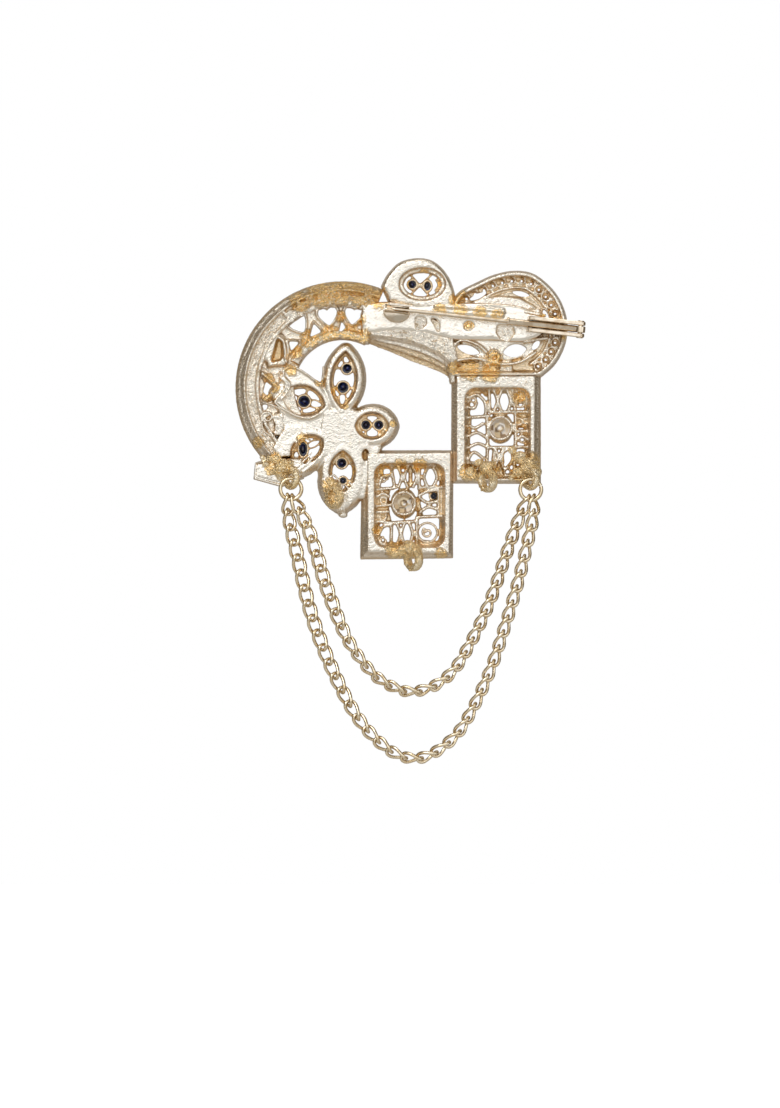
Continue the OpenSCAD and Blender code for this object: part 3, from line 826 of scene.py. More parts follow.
@dataclass(frozen=True)
class CastGold(Finish):
    """Plated cast metal: pale on its open faces, with painted shade that is yellow-brown in its pockets and brown on
    its outer walls.

    Attributes:
        pale: colour of its open faces.
        warm: colour of its patches.
        deep: colour of the painted shade in its pockets and deeper levels.
        gold: colour where the plating is thick.
        wall: colour of the painted shade on its outer walls.
        yellow: how far the patches reach.
        rough: roughness.
        grain: height of its grain in millimetres.
        pits: grains per millimetre.
        speck: colour of the specks between the grains.
        fleck: strength of those specks.
        metal: how far it mirrors the room; the rest scatters the light, as matt plating does.
    """

    slot: str = "cast_gold"
    pale: Colour = (0.94, 0.90, 0.82)
    warm: Colour = (0.90, 0.76, 0.52)
    # deep and wall are painted shade: deep in pockets and deeper levels, wall on outer walls
    deep: Colour = (0.74, 0.51, 0.21)
    gold: Colour = (0.95, 0.62, 0.20)
    wall: Colour = (0.72, 0.54, 0.36)
    yellow: float = 0.35
    rough: float = 0.2
    grain: float = 0.05
    pits: float = 1.7
    speck: Colour = (0.50, 0.36, 0.20)
    fleck: float = 0.6
    metal: float = 1.0

    def make(self) -> bpy.types.Material:
        """Make the material.

        Returns:
            The material.
        """
        web = Web(self.name)
        split = web.node("ShaderNodeSeparateXYZ")
        web.link(web.scaled, "Vector", split, "Vector")
        # painted shade: the further a place lies from the back, the more of the deep colour it takes
        depth = web.span(split, "Y", BACK + 1.0, FLOOR + 0.2, 0.0, 0.6)
        clouds = web.noise(0.55, 4.0)
        patches = web.span(clouds, 0, 0.62 - self.yellow * 0.25, 0.95 - self.yellow * 0.35, 0.0, 0.8)
        speckle = web.noise(self.pits, 2.0, 0.7)
        fine = web.noise(self.pits * 2.2, 3.0, 0.6)
        flecks = web.span(speckle, 0, 0.58, 0.66, 0.0, self.fleck)
        ragged = web.node("ShaderNodeMath", operation="MULTIPLY_ADD")
        web.link(web.noise(1.3, 4.0, 0.7), 0, ragged, 0)
        ragged.inputs[1].default_value = 1.5
        ragged.inputs[2].default_value = -0.8
        edge = web.node("ShaderNodeMath", operation="ADD")
        web.link(ragged, 0, edge, 0)
        web.link(web.attribute("gilt"), "Fac", edge, 1)
        gilt = web.span(edge, 0, 0.05, 0.6)
        shine = web.span(fine, 0, 0.47, 0.72)
        thick = web.blend(shine, self.gold, self.pale)
        colour = web.blend(patches, self.pale, self.warm)
        colour = web.blend(flecks, colour, self.speck)
        colour = web.blend(depth, colour, self.deep)
        # painted shade from the baked pocket and wall marks, then the thick gilt
        for source, share, tone in ((web.attribute("pocket"), 0.95, self.deep),
                                    (web.attribute("wall_shade"), 0.85, self.wall),
                                    (gilt, 0.85, thick)):
            part = web.node("ShaderNodeMath", operation="MULTIPLY")
            web.link(source, 2 if source.bl_idname == "ShaderNodeAttribute" else 0, part, 0)
            part.inputs[1].default_value = share
            colour = web.blend(part, colour, tone)
        web.link(colour, 2, web.shader, "Base Color")
        web.shader.inputs["Metallic"].default_value = self.metal
        sheen = web.span(clouds, 0, 0.3, 0.8, self.rough, self.rough + 0.12)
        web.link(sheen, 0, web.shader, "Roughness")
        raised = web.span(gilt, 0, 0.0, 1.0, 0.8, 2.4)
        grains = web.node("ShaderNodeMath", operation="MULTIPLY")
        web.link(speckle, 0, grains, 0)
        web.link(raised, 0, grains, 1)
        web.bump((grains, 0, self.grain * 2.2), (fine, 0, self.grain))
        return web.material


@dataclass(frozen=True)
class PolishedGold(Finish):
    """Polished plated wire with faint drawing marks and painted shade, brown, on its sides."""

    slot: str = "chain_gold"
    # edge is the colour of painted shade on the wire's sides
    edge: Colour = (0.55, 0.37, 0.17)
    light: Colour = (0.95, 0.83, 0.58)
    dark: Colour = (0.86, 0.66, 0.34)
    rough: float = 0.14

    def make(self) -> bpy.types.Material:
        """Make the material.

        Returns:
            The material.
        """
        web = Web(self.name)
        clouds = web.noise(0.8, 3.0)
        tone = web.span(clouds, 0, 0.35, 0.75)
        colour = web.blend(tone, self.light, self.dark)
        # painted shade: brown on the sides
        side = web.node("ShaderNodeMath", operation="MULTIPLY")
        web.link(web.attribute("wall_shade"), "Fac", side, 0)
        side.inputs[1].default_value = 0.9
        colour = web.blend(side, colour, self.edge)
        web.link(colour, 2, web.shader, "Base Color")
        web.shader.inputs["Metallic"].default_value = 1.0
        sheen = web.span(clouds, 0, 0.3, 0.8, self.rough, self.rough + 0.14)
        web.link(sheen, 0, web.shader, "Roughness")
        marks = web.noise(5.0, 2.0)
        web.bump((marks, 0, 0.006))
        return web.material


@dataclass(frozen=True)
class DarkStone(Finish):
    """Navy glass, nearly black, with a blue glint inside."""

    slot: str = "dark_stone"
    body: Colour = (0.004, 0.006, 0.030)
    glint: Colour = (0.015, 0.03, 0.16)

    def make(self) -> bpy.types.Material:
        """Make the material.

        Returns:
            The material.
        """
        web = Web(self.name)
        clouds = web.noise(1.4, 2.0)
        colour = web.blend(web.span(clouds, 0, 0.48, 0.66), self.body, self.glint)
        web.link(colour, 2, web.shader, "Base Color")
        web.shader.inputs["Roughness"].default_value = 0.08
        web.shader.inputs["IOR"].default_value = 1.6
        web.shader.inputs["Coat Weight"].default_value = 0.3
        web.bump((web.noise(3.0, 2.0), 0, 0.004))
        return web.material


@dataclass(frozen=True)
class ClearStone(Finish):
    """Clear cut glass over worn foil."""

    slot: str = "clear_stone"
    body: Colour = (0.96, 0.95, 0.93)
    foil: Colour = (0.88, 0.75, 0.53)
    gap: Colour = (0.36, 0.27, 0.18)

    def make(self) -> bpy.types.Material:
        """Make the material.

        Returns:
            The material.
        """
        web = Web(self.name)
        cells = web.node("ShaderNodeTexVoronoi", distance="CHEBYCHEV")
        web.link(web.scaled, "Vector", cells, "Vector")
        cells.inputs["Scale"].default_value = 1.15
        tones = web.node("ShaderNodeSeparateColor")
        web.link(cells, "Color", tones, "Color")
        colour = web.blend(web.span(tones, "Red", 0.35, 0.6), self.body, self.foil)
        colour = web.blend(web.span(tones, "Green", 0.72, 0.82), colour, self.gap)
        web.link(colour, 2, web.shader, "Base Color")
        web.shader.inputs["Roughness"].default_value = 0.05
        web.shader.inputs["IOR"].default_value = 1.56
        web.shader.inputs["Metallic"].default_value = 0.3
        web.shader.inputs["Transmission Weight"].default_value = 0.1
        web.bump((web.noise(2.0, 2.0), 0, 0.003))
        return web.material


SMOOTH_CAST = CastGold("smooth_cast_gold", yellow=0.1, rough=0.12, grain=0.07, fleck=0.25)
PLAIN_CAST = CastGold("plain_cast_gold", yellow=0.0, rough=0.12, grain=0.03, pits=1.5, fleck=0.12)
GRAINY_CAST = CastGold("grainy_cast_gold", yellow=0.3, rough=0.14, grain=0.17, fleck=0.75, metal=0.95)
OPEN_CAST = CastGold("openwork_cast_gold", yellow=0.25, rough=0.12, grain=0.1, fleck=0.55)
# as in every CastGold, its wall and deep colours are painted shade
SOLDER = CastGold("soldered_gold", yellow=0.8, rough=0.12, grain=0.16, pits=1.5, pale=(1.0, 0.92, 0.74),
                  warm=(0.97, 0.76, 0.42), wall=(0.88, 0.64, 0.28), deep=(0.84, 0.58, 0.20), gold=(0.97, 0.72, 0.36),
                  speck=(0.60, 0.38, 0.12), fleck=0.7, metal=0.9)
PIN_METAL = PolishedGold("pin_metal", slot="pin_metal", light=(0.84, 0.76, 0.64), dark=(0.62, 0.50, 0.36), rough=0.09)
RING_METAL = PolishedGold("ring_metal", slot="ring_metal", light=(0.93, 0.84, 0.64), dark=(0.82, 0.65, 0.40))
CHAIN_METAL = PolishedGold("chain_metal", light=(0.96, 0.87, 0.68), dark=(0.86, 0.68, 0.42), rough=0.1)
NAVY = DarkStone("navy_stone")
CRYSTAL = ClearStone("clear_crystal")


# --- chains and rings ---


@dataclass(frozen=True)
class LinkShape:
    """One twisted link of the curb chain, in millimetres."""

    wire: float = 0.62
    pitch: float = 2.8
    width: float = 2.72
    clear: float = 0.1
    twist: float = 50.0
    around: int = 30
    sides: int = 10
    square: float = 0.8
    near: float = 0.03

    @property
    def reach(self) -> float:
        """Half the link's length, on its wire's middle."""
        return (self.pitch + self.wire) / 2 + 2 * self.clear

    @property
    def half(self) -> float:
        """Half the link's width, on its wire's middle."""
        return (self.width - self.wire) / 2

    def line(self, angle: float) -> Vector:
        """Give the place on the wire's middle at an angle round the link.

        Args:
            angle: angle in radians.

        Returns:
            The place.
        """
        soft: Callable[[float], float] = lambda v: math.copysign(abs(v) ** self.square, v)
        x, y = self.reach * soft(math.cos(angle)), self.half * soft(math.sin(angle))
        lean = math.radians(self.twist * x / self.reach)
        return Vector((x, y * math.cos(lean), y * math.sin(lean)))

    def build(self) -> Piece:
        """Shape a ring into the link, along X round the origin.

        Returns:
            The link.
        """
        clear_selection()
        bpy.ops.mesh.primitive_torus_add(major_segments=self.around, minor_segments=self.sides, major_radius=1.0,
                                         minor_radius=self.wire / 2)
        link = bpy.context.object
        for vertex in link.data.vertices:
            x, y, z = vertex.co
            angle = math.atan2(y, x)
            here = self.line(angle)
            along = (self.line(angle + self.near) - self.line(angle - self.near)).normalized()
            lean = math.radians(self.twist * here.x / self.reach)
            flat = Vector((0, -math.sin(lean), math.cos(lean)))
            up = (flat - flat.dot(along) * along).normalized()
            out = along.cross(up)
            vertex.co = here + z * up - (math.hypot(x, y) - 1.0) * out
        return link


RING_LEFT = (-34.8971, -30.4533)
RING_RIGHT = (8.17661, -30.576)


@dataclass
class Chain:
    """One swag of chain from the left ring to the right one, in millimetres.

    Attributes:
        name: name of its piece.
        solid: the solid that it replaces.
        table: share of the span and share of the fall of each place on its line.
        rolls: share of its length, and the roll of the links there in degrees.
        fall: how far its lowest place lies under its ends.
        side: 1 for the swag that hangs outside, -1 for the one inside.
        link: shape of its links.
        apart: how far its ends lie before or behind the rings' level.
        eye_apart: how far beside a ring's lowest place it hangs.
        level: Y of the rings.
        ring_left: X and Z of the left ring's middle.
        ring_right: X and Z of the right ring's middle.
        ring_mid: radius of the middle of a ring's wire.
        ring_wire: width of a ring's wire.
    """

    name: str
    solid: str
    table: list[Point]
    rolls: list[Point]
    fall: float
    side: int
    link: LinkShape = field(default_factory=LinkShape)
    apart: float = 1.15
    eye_apart: float = 0.6
    level: float = 2.0
    ring_left: Point = RING_LEFT
    ring_right: Point = RING_RIGHT
    ring_mid: float = 1.9
    ring_wire: float = 0.7

    def eye(self, ring: Point, side: int) -> Vector:
        """Give the place on a ring's wire where the chain hangs."""
        return Vector((ring[0] + side * self.eye_apart, self.level,
                       ring[1] - math.sqrt(self.ring_mid ** 2 - self.eye_apart ** 2)))

    def route(self) -> list[Vector]:
        """Give the line that the chain hangs along.

        Returns:
            The places on the line.
        """
        start, end = self.eye(self.ring_left, -self.side), self.eye(self.ring_right, self.side)
        middle = [Vector((start.x + (end.x - start.x) * s, self.level + self.side * self.apart * (1 - 2 * s),
                          start.z + (end.z - start.z) * s - drop * self.fall)) for s, drop in self.table]
        return [Vector(p) for p in smooth_line([start, *middle, end], 6)]

    def build(self) -> Piece:
        """Hang the links along the route.

        Returns:
            The finished chain.
        """
        path = self.route()
        run = [0.0]
        for a, b in zip(path, path[1:]):
            run.append(run[-1] + (b - a).length)

        def at(s: float) -> Vector:
            """Give the place at a running length."""
            k = max(0, min(len(run) - 2, next((i for i in range(len(run) - 1) if run[i + 1] >= s), len(run) - 2)))
            return path[k].lerp(path[k + 1], (s - run[k]) / (run[k + 1] - run[k]))

        def roll_at(share: float) -> float:
            """Give the roll at a share of the chain.

            Args:
                share: share of the chain's length.

            Returns:
                The roll in degrees.
            """
            for (a, ra), (b, rb) in zip(self.rolls, self.rolls[1:]):
                if share <= b:
                    return ra + (rb - ra) * (share - a) / (b - a)
            return self.rolls[-1][1]

        hook = self.link.reach - (self.ring_wire + self.link.wire) / 2 - 2 * self.link.clear
        total = run[-1] - 2 * hook
        count = round(total / self.link.pitch) + 1
        step = total / (count - 1)
        turns = []
        for i in range(count):
            s = hook + i * step
            ex = (at(s + step / 2) - at(s - step / 2)).normalized()
            ey = Vector((0, 1, 0)).cross(ex).normalized()
            ez = ex.cross(ey)
            turn = Matrix((ex, ey, ez)).transposed().to_4x4()
            roll = math.radians(roll_at(i / (count - 1)))
            turns.append(Matrix.Translation(at(s)) @ turn @ Matrix.Rotation(roll, 4, "X"))
        return hand_in(copies(self.link.build(), turns), self.name, CHAIN_METAL, BODY, (self.solid,), angle=70.0)


@dataclass
class JumpRing:
    """A split ring of round wire, pinched shut."""

    name: str
    solid: str
    centre: Point
    split: float
    mid: float = 1.9
    wire: float = 0.35
    level: float = 2.0
    gap: float = 1.1
    steps: int = 60

    def build(self) -> Piece:
        """Bend the wire round and close it but for a hair.

        Returns:
            The finished ring.
        """
        path = [polar(self.centre, self.mid, self.split + self.gap + (360 - 2 * self.gap) * i / self.steps)
                for i in range(self.steps + 1)]
        piece = wire(path, self.level, self.wire)
        return hand_in(piece, self.name, RING_METAL, BODY, (self.solid,))


OUTER_TABLE = [(0.006, 0.08), (0.038, 0.213), (0.093, 0.434), (0.17, 0.632), (0.263, 0.81), (0.351, 0.917),
               (0.449, 0.984), (0.547, 0.993), (0.64, 0.945), (0.721, 0.857), (0.819, 0.664), (0.888, 0.467),
               (0.937, 0.308), (0.974, 0.16), (0.994, 0.075)]
INNER_TABLE = [(0.04, 0.1), (0.088, 0.251), (0.133, 0.439), (0.216, 0.7), (0.298, 0.854), (0.379, 0.949), (0.481, 1.0),
               (0.57, 0.987), (0.649, 0.932), (0.719, 0.83), (0.828, 0.567), (0.909, 0.288), (0.958, 0.12)]
OUTER_ROLL = [(0, -40), (0.12, 0), (0.25, 8), (0.38, 36), (0.5, 56), (0.62, 50), (0.75, 45), (1, 40)]
INNER_ROLL = [(0, -40), (0.17, -2), (0.26, 24), (0.36, 54), (0.5, 60), (0.66, 48), (1, 40)]


# --- the pin, its hinge and its catch ---


def turned(stations: Sequence[Point], sides: int = 24, notch: float = 0.0) -> Piece:
    """Turn a rod along X from its radii.

    Args:
        stations: X and radius of each ring.
        sides: sides of the rod.
        notch: depth of a seam along its back, as a share of the radius.

    Returns:
        The closed rod.
    """
    outline = [(math.cos(2 * math.pi * i / sides), math.sin(2 * math.pi * i / sides)) for i in range(sides)]
    rod = filled_circle(sides)
    for vertex, (a, b) in zip(rod.data.vertices, outline):
        vertex.co = (stations[0][0], a, b)
    edit_all()
    for (x0, _), (x1, _) in zip(stations, stations[1:]):
        bpy.ops.mesh.extrude_region_move(TRANSFORM_OT_translate={"value": (x1 - x0, 0, 0)})
    bpy.ops.object.mode_set(mode="OBJECT")
    for vertex in rod.data.vertices:
        radius = min(stations, key=lambda s: abs(s[0] - vertex.co.x))[1]
        if notch and vertex.co.y < -0.999:
            radius *= 1 - notch
        vertex.co.y *= radius
        vertex.co.z *= radius
    face_outwards()
    return rod


@dataclass
class PinWork:
    """The bar pin, the ears that it turns between and the gutter that catches its tip, in millimetres."""

    length: float = 34.2
    wire: float = 0.66
    sleeve: float = 1.24
    sleeve_len: float = 13.0
    tilt: float = 6.3
    ear_len: float = 10.6
    ear: float = 0.7
    rivet: float = 0.8
    catch_len: float = 4.3
    catch_wall: float = 0.28
    knuckle: float = 1.82
    ear_foot: float = 0.92
    root: float = 3.2
    clear: float = 0.1

    @property
    def pivot(self) -> float:
        """Distance from the origin to the rivet along the pin."""
        return self.length / 2

    def lean(self, piece: Piece) -> Piece:
        """Turn a piece onto the pin's sloping line."""
        piece.data.transform(Matrix.Rotation(math.radians(self.tilt), 4, "Y"))
        return piece

    def upright(self, outline: Sequence[Point], half: float, z: float, soft: float = 0.06) -> Piece:
        """Make a sheet in the X and Y plane, from an outline of X and Y, at a height.

        Args:
            outline: X and Y of the corners.
            half: half its thickness.
            z: height of its middle.
            soft: how far its edges are broken.

        Returns:
            The sheet.
        """
        sheet = loft(outline, [(half, soft), (half - soft, 0.0), (soft - half, 0.0), (-half, soft)])
        sheet.data.transform(Matrix.Translation((0, 0, z)) @ Matrix.Rotation(math.radians(-90), 4, "X"))
        return sheet

    def build_pin(self) -> None:
        """Make the pin: its pointed wire, and the sleeve with its collar and knuckle."""
        p = self.pivot
        tip = [(-p, 0.02), (-p + 0.08, 0.08), (-p + 0.4, 0.17), (-p + 1.0, self.wire / 2)]
        shaft = turned([*tip, (p - self.sleeve_len + 0.1, self.wire / 2)], 20)
        hand_in(self.lean(shaft), "pin_wire", PIN_METAL, PIN_BODY, ("pin_stem",), angle=40.0)
        r, start = self.sleeve / 2, p - self.sleeve_len
        collar = turned([(start - 0.25, r), (start - 0.17, r + 0.13), (start + 0.1, r + 0.15),
                         (start + 0.25, r + 0.02)], 28)
        sleeve = turned([(start - 0.05, r - 0.02), (start + 0.3, r - 0.01), (p - 1.3, r - 0.01), (p - 0.6, r * 0.92)],
                        28, notch=0.12)
        knuckle = self.upright(oval((p, 0.0), self.knuckle, self.knuckle, 32), (self.sleeve - self.clear) / 2, 0.0, 0.1)
        bore = self.upright(oval((p, 0.0), self.rivet + 2 * self.clear, self.rivet + 2 * self.clear, 24), self.sleeve,
                            0.0, 0.0)
        carve(knuckle, bore)
        hand_in(self.lean(joined([collar, sleeve, knuckle])), "pin_sleeve", PIN_METAL, PIN_BODY, ("pin_stem",),
                angle=40.0)

    def build_hinge(self) -> None:
        """Make the two ears and their rivet."""
        p, top = self.pivot, self.sleeve / 2 + 0.15
        gap = self.sleeve + 2 * self.clear
        start = p + 1.0 - self.ear_len
        round_r = (self.ear_foot + top) / 2
        nose = [polar((p, (self.ear_foot - top) / 2), round_r, a) for a in range(-90, 91, 15)]
        shape = [(start, 1.2), (start + 0.25, -top + 0.2), (start + 0.6, -top), *nose, (p - 2.2, self.ear_foot),
                 (p - 2.4, self.root), (start, self.root)]
        ears = [self.upright(shape, self.ear / 2, side * (gap + self.ear) / 2, 0.12) for side in (-1, 1)]
        heads = [self.upright(oval((p, 0.0), self.rivet * 1.5, self.rivet * 1.5, 24), 0.1,
                              side * (gap / 2 + self.ear) + side * 0.05, 0.07) for side in (-1, 1)]
        shank = self.upright(oval((p, 0.0), self.rivet, self.rivet, 24), gap / 2 + self.ear, 0.0, 0.0)
        piece = self.lean(joined([*ears, *heads, shank]))
        hand_in(piece, "hinge_ears", PIN_METAL, BODY, ("frame",), angle=40.0)

    def build_catch(self) -> None:
        """Make the rolled gutter on its half-moon plate."""
        bore = self.wire / 2 + self.clear
        outer, start = bore + self.catch_wall, -self.pivot - 1.0
        mouth = math.degrees(math.asin(bore / outer))
        ring = [polar((0, 0), outer, a) for a in range(int(mouth), 361 - int(mouth), 12)]
        inner = [(bore * math.cos(math.radians(a)), bore * math.sin(math.radians(a))) for a in range(270, 89, -15)]
        outline = [*ring, (outer * math.cos(math.radians(mouth)), -bore), *inner]
        gutter = loft(outline, [(start + self.catch_len, 0.03), (start + self.catch_len - 0.05, 0.0),
                                (start + 0.05, 0.0), (start, 0.03)])
        gutter.data.transform(Matrix.Rotation(math.radians(-90), 4, "Z"))
        mid, depth = start + self.catch_len / 2, outer * 0.4
        moon = [(mid + (self.catch_len / 2 + 0.28) * math.cos(math.radians(a)),
                 -outer * 0.6 + 1.9 * math.sin(math.radians(a))) for a in range(180, 361, 9)]
        plate_piece = loft(moon, [(self.root, 0.0), (depth + 0.3, 0.0), (depth + 0.05, 0.12), (depth, 0.3)])
        foot = loft([(start + 0.28, -outer * 0.7), (start + self.catch_len - 0.28, -outer * 0.7),
                     (start + self.catch_len - 0.28, outer * 0.7), (start + 0.28, outer * 0.7)],
                    [(self.root, 0.0), (depth, 0.0)])
        piece = self.lean(joined([gutter, plate_piece, foot]))
        hand_in(piece, "catch", PIN_METAL, BODY, ("frame",), angle=35.0)


# --- stones ---


@dataclass
class Stone:
    """A cut stone set from the front, seen by its pointed back, in millimetres."""

    name: str
    at: Point
    hole: float
    tall: float = 1.0
    clear: bool = False
    sides: int = 12

    def build(self) -> None:
        """Cut the stone: a table to the front, a girdle, and facets that meet at the back."""
        ledge, gap = 0.25, 0.1
        girdle, seat = self.hole / 2 + ledge, FRONT - 0.4 + gap
        levels = [(RELIEF + 0.29, girdle * 0.42), (RELIEF + 0.1, girdle * 0.26), (seat + ledge, 0.0), (seat, 0.0),
                  (seat - 0.01, ledge + gap), (FLOOR + gap + 0.28 * self.hole * 0.5, girdle * 0.62),
                  (FLOOR + gap, girdle * 0.80)]
        if self.hole < 1.2:
            levels = [levels[0], levels[2], levels[3], levels[4], (FLOOR + gap, girdle * 0.75)]
        outline = [polar((0, 0), girdle, 360 * (i + 0.5) / self.sides) for i in range(self.sides)]
        stone = loft(outline, levels)
        stone.data.transform(Matrix.Translation((self.at[0], 0, self.at[1])) @ Matrix.Diagonal((1, 1, self.tall, 1)))
        finish = CRYSTAL if self.clear else NAVY
        hand_in(stone, self.name + "_cut", finish, BODY, (self.name,), angle=5.0)


# --- the stage ---


# Brightness and warmth of the room from behind the camera, round the sides, to behind the object
ROOM_TONES = [(0.0, 1.4, 0.0), (0.03, 1.32, 0.0), (0.08, 1.0, 0.02), (0.16, 0.48, 0.06), (0.28, 0.25, 0.18),
              (0.5, 0.15, 0.24), (0.75, 0.2, 0.2), (1.0, 0.55, 0.1)]


# Name, place, width and power of each lamp, and the place that all of them look at, in metres
LAMPS = [("key_light", (-0.55, -0.75, 0.65), 0.45, 3.0), ("fill_light", (0.75, -0.55, 0.15), 0.5, 0.7),
         ("top_light", (0.05, -0.1, 0.8), 0.4, 1.0)]
LAMP_AIM = (-0.017, 0.0, -0.04)


def lay_floor() -> None:
    """Lay the pale floor under the object."""
    clear_selection()
    bpy.ops.mesh.primitive_plane_add(size=6.0, location=(0, 0, -0.30))
    floor = bpy.context.object
    floor.name = "floor"
    edit_all()
    bpy.ops.mesh.subdivide(number_cuts=1)
    bpy.ops.object.mode_set(mode="OBJECT")
    web = Web("pale_floor")
    cloud = web.node("ShaderNodeTexNoise", Scale=2.0, Detail=2.0)
    web.link(web.place, "Object", cloud, "Vector")
    colour = web.blend(web.span(cloud, 0, 0.3, 0.7), (0.93, 0.93, 0.925), (0.90, 0.90, 0.90))
    web.link(colour, 2, web.shader, "Base Color")
    web.shader.inputs["Roughness"].default_value = 0.7
    web.shader.inputs["Emission Color"].default_value = (1.0, 1.0, 1.0, 1.0)
    seen = web.node("ShaderNodeLightPath")
    glow = web.span(seen, "Is Camera Ray", 0.0, 1.0, 0.0, 0.8)
    web.link(glow, 0, web.shader, "Emission Strength")
    floor.data.materials.append(web.material)


def light_room() -> None:
    """Set the room that the metal mirrors, behind white paper."""
    world = bpy.data.worlds.new("studio")
    bpy.context.scene.world = world
    bpy.context.scene.view_settings.view_transform = "Standard"
    world.use_nodes = True
    tree = world.node_tree
    tree.nodes.clear()
    add, link = tree.nodes.new, tree.links.new
    out = add("ShaderNodeOutputWorld")
    way, split = add("ShaderNodeTexCoord"), add("ShaderNodeSeparateXYZ")
    link(way.outputs["Generated"], split.inputs[0])
    depth, height = add("ShaderNodeMapRange"), add("ShaderNodeMapRange")
    for node, axis, low, high in ((depth, "Y", -1.0, 1.0), (height, "Z", -0.1, 1.0)):
        node.inputs[1].default_value, node.inputs[2].default_value = low, high
        link(split.outputs[axis], node.inputs[0])
    ramp = add("ShaderNodeValToRGB")
    ramp.color_ramp.interpolation = "EASE"
    while len(ramp.color_ramp.elements) < len(ROOM_TONES):
        ramp.color_ramp.elements.new(0.5)
    for element, (at, tone, warmth) in zip(ramp.color_ramp.elements, ROOM_TONES):
        element.position, element.color = at, (tone, (1 - 0.6 * warmth) * tone, (1 - 1.6 * warmth) * tone, 1.0)
    link(depth.outputs[0], ramp.inputs[0])
    top = add("ShaderNodeMath")
    top.operation, top.inputs[1].default_value = "MULTIPLY_ADD", 0.55
    top.inputs[2].default_value = 0.8
    link(height.outputs[0], top.inputs[0])
    room, paper = add("ShaderNodeBackground"), add("ShaderNodeBackground")
    link(ramp.outputs[0], room.inputs["Color"])
    link(top.outputs[0], room.inputs["Strength"])
    paper.inputs["Color"].default_value = (1.0, 1.0, 1.0, 1.0)
    seen, mix = add("ShaderNodeLightPath"), add("ShaderNodeMixShader")
    through = add("ShaderNodeMath")
    through.operation = "MAXIMUM"
    link(seen.outputs["Is Camera Ray"], through.inputs[0])
    link(seen.outputs["Is Transmission Ray"], through.inputs[1])
    link(through.outputs[0], mix.inputs[0])
    link(room.outputs[0], mix.inputs[1])
    link(paper.outputs[0], mix.inputs[2])
    link(mix.outputs[0], out.inputs[0])


def hang_lamps() -> None:
    """Hang the soft lights."""
    for name, place, size, power in LAMPS:
        light = bpy.data.lights.new(name, "AREA")
        light.shape, light.size, light.energy = "SQUARE", size, power
        lamp = bpy.data.objects.new(name, light)
        lamp.location = place
        lamp.rotation_euler = (Vector(LAMP_AIM) - Vector(place)).to_track_quat("-Z", "Y").to_euler()
        bpy.context.scene.collection.objects.link(lamp)


def place_camera() -> None:
    """Look at the drawing's middle, square on."""
    distance, tall = 0.9, DRAWING[1] * UNIT * MM
    view = bpy.data.cameras.new("camera")
    view.lens = view.sensor_width * distance / tall
    view.clip_start, view.clip_end = 0.05, 20.0
    camera = bpy.data.objects.new("camera", view)
    x, z = spot(DRAWING[0] / 2, DRAWING[1] / 2)
    camera.location = (x * MM, -distance + 0.004, z * MM)
    camera.rotation_euler = (math.radians(90), 0, 0)
    bpy.context.scene.collection.objects.link(camera)
    bpy.context.scene.camera = camera


def set_stage() -> None:
    """Set the floor, the room, the lights and the camera."""
    lay_floor()
    light_room()
    hang_lamps()
    place_camera()


# --- the castings ---


Seat = tuple[float, float, float, float]


def stone_collar(at: Point, hole: float, tall: float) -> Piece:
    """Make the collar round the hole behind a stone."""
    return wire(oval(at, hole + 0.42, (hole + 0.42) * tall), FLOOR + 0.35, 0.25, 2.4, closed=True)


def stone_holes(seats: Sequence[Seat]) -> list[Piece]:
    """Make the cutters behind stones, from the place on the drawing, the hole and the stretch of each."""
    return [loft(oval(spot(px, py), hole, hole * tall), [(RELIEF + 0.4, 0.0), (BACK - 0.4, -0.1)])
            for px, py, hole, tall in seats]


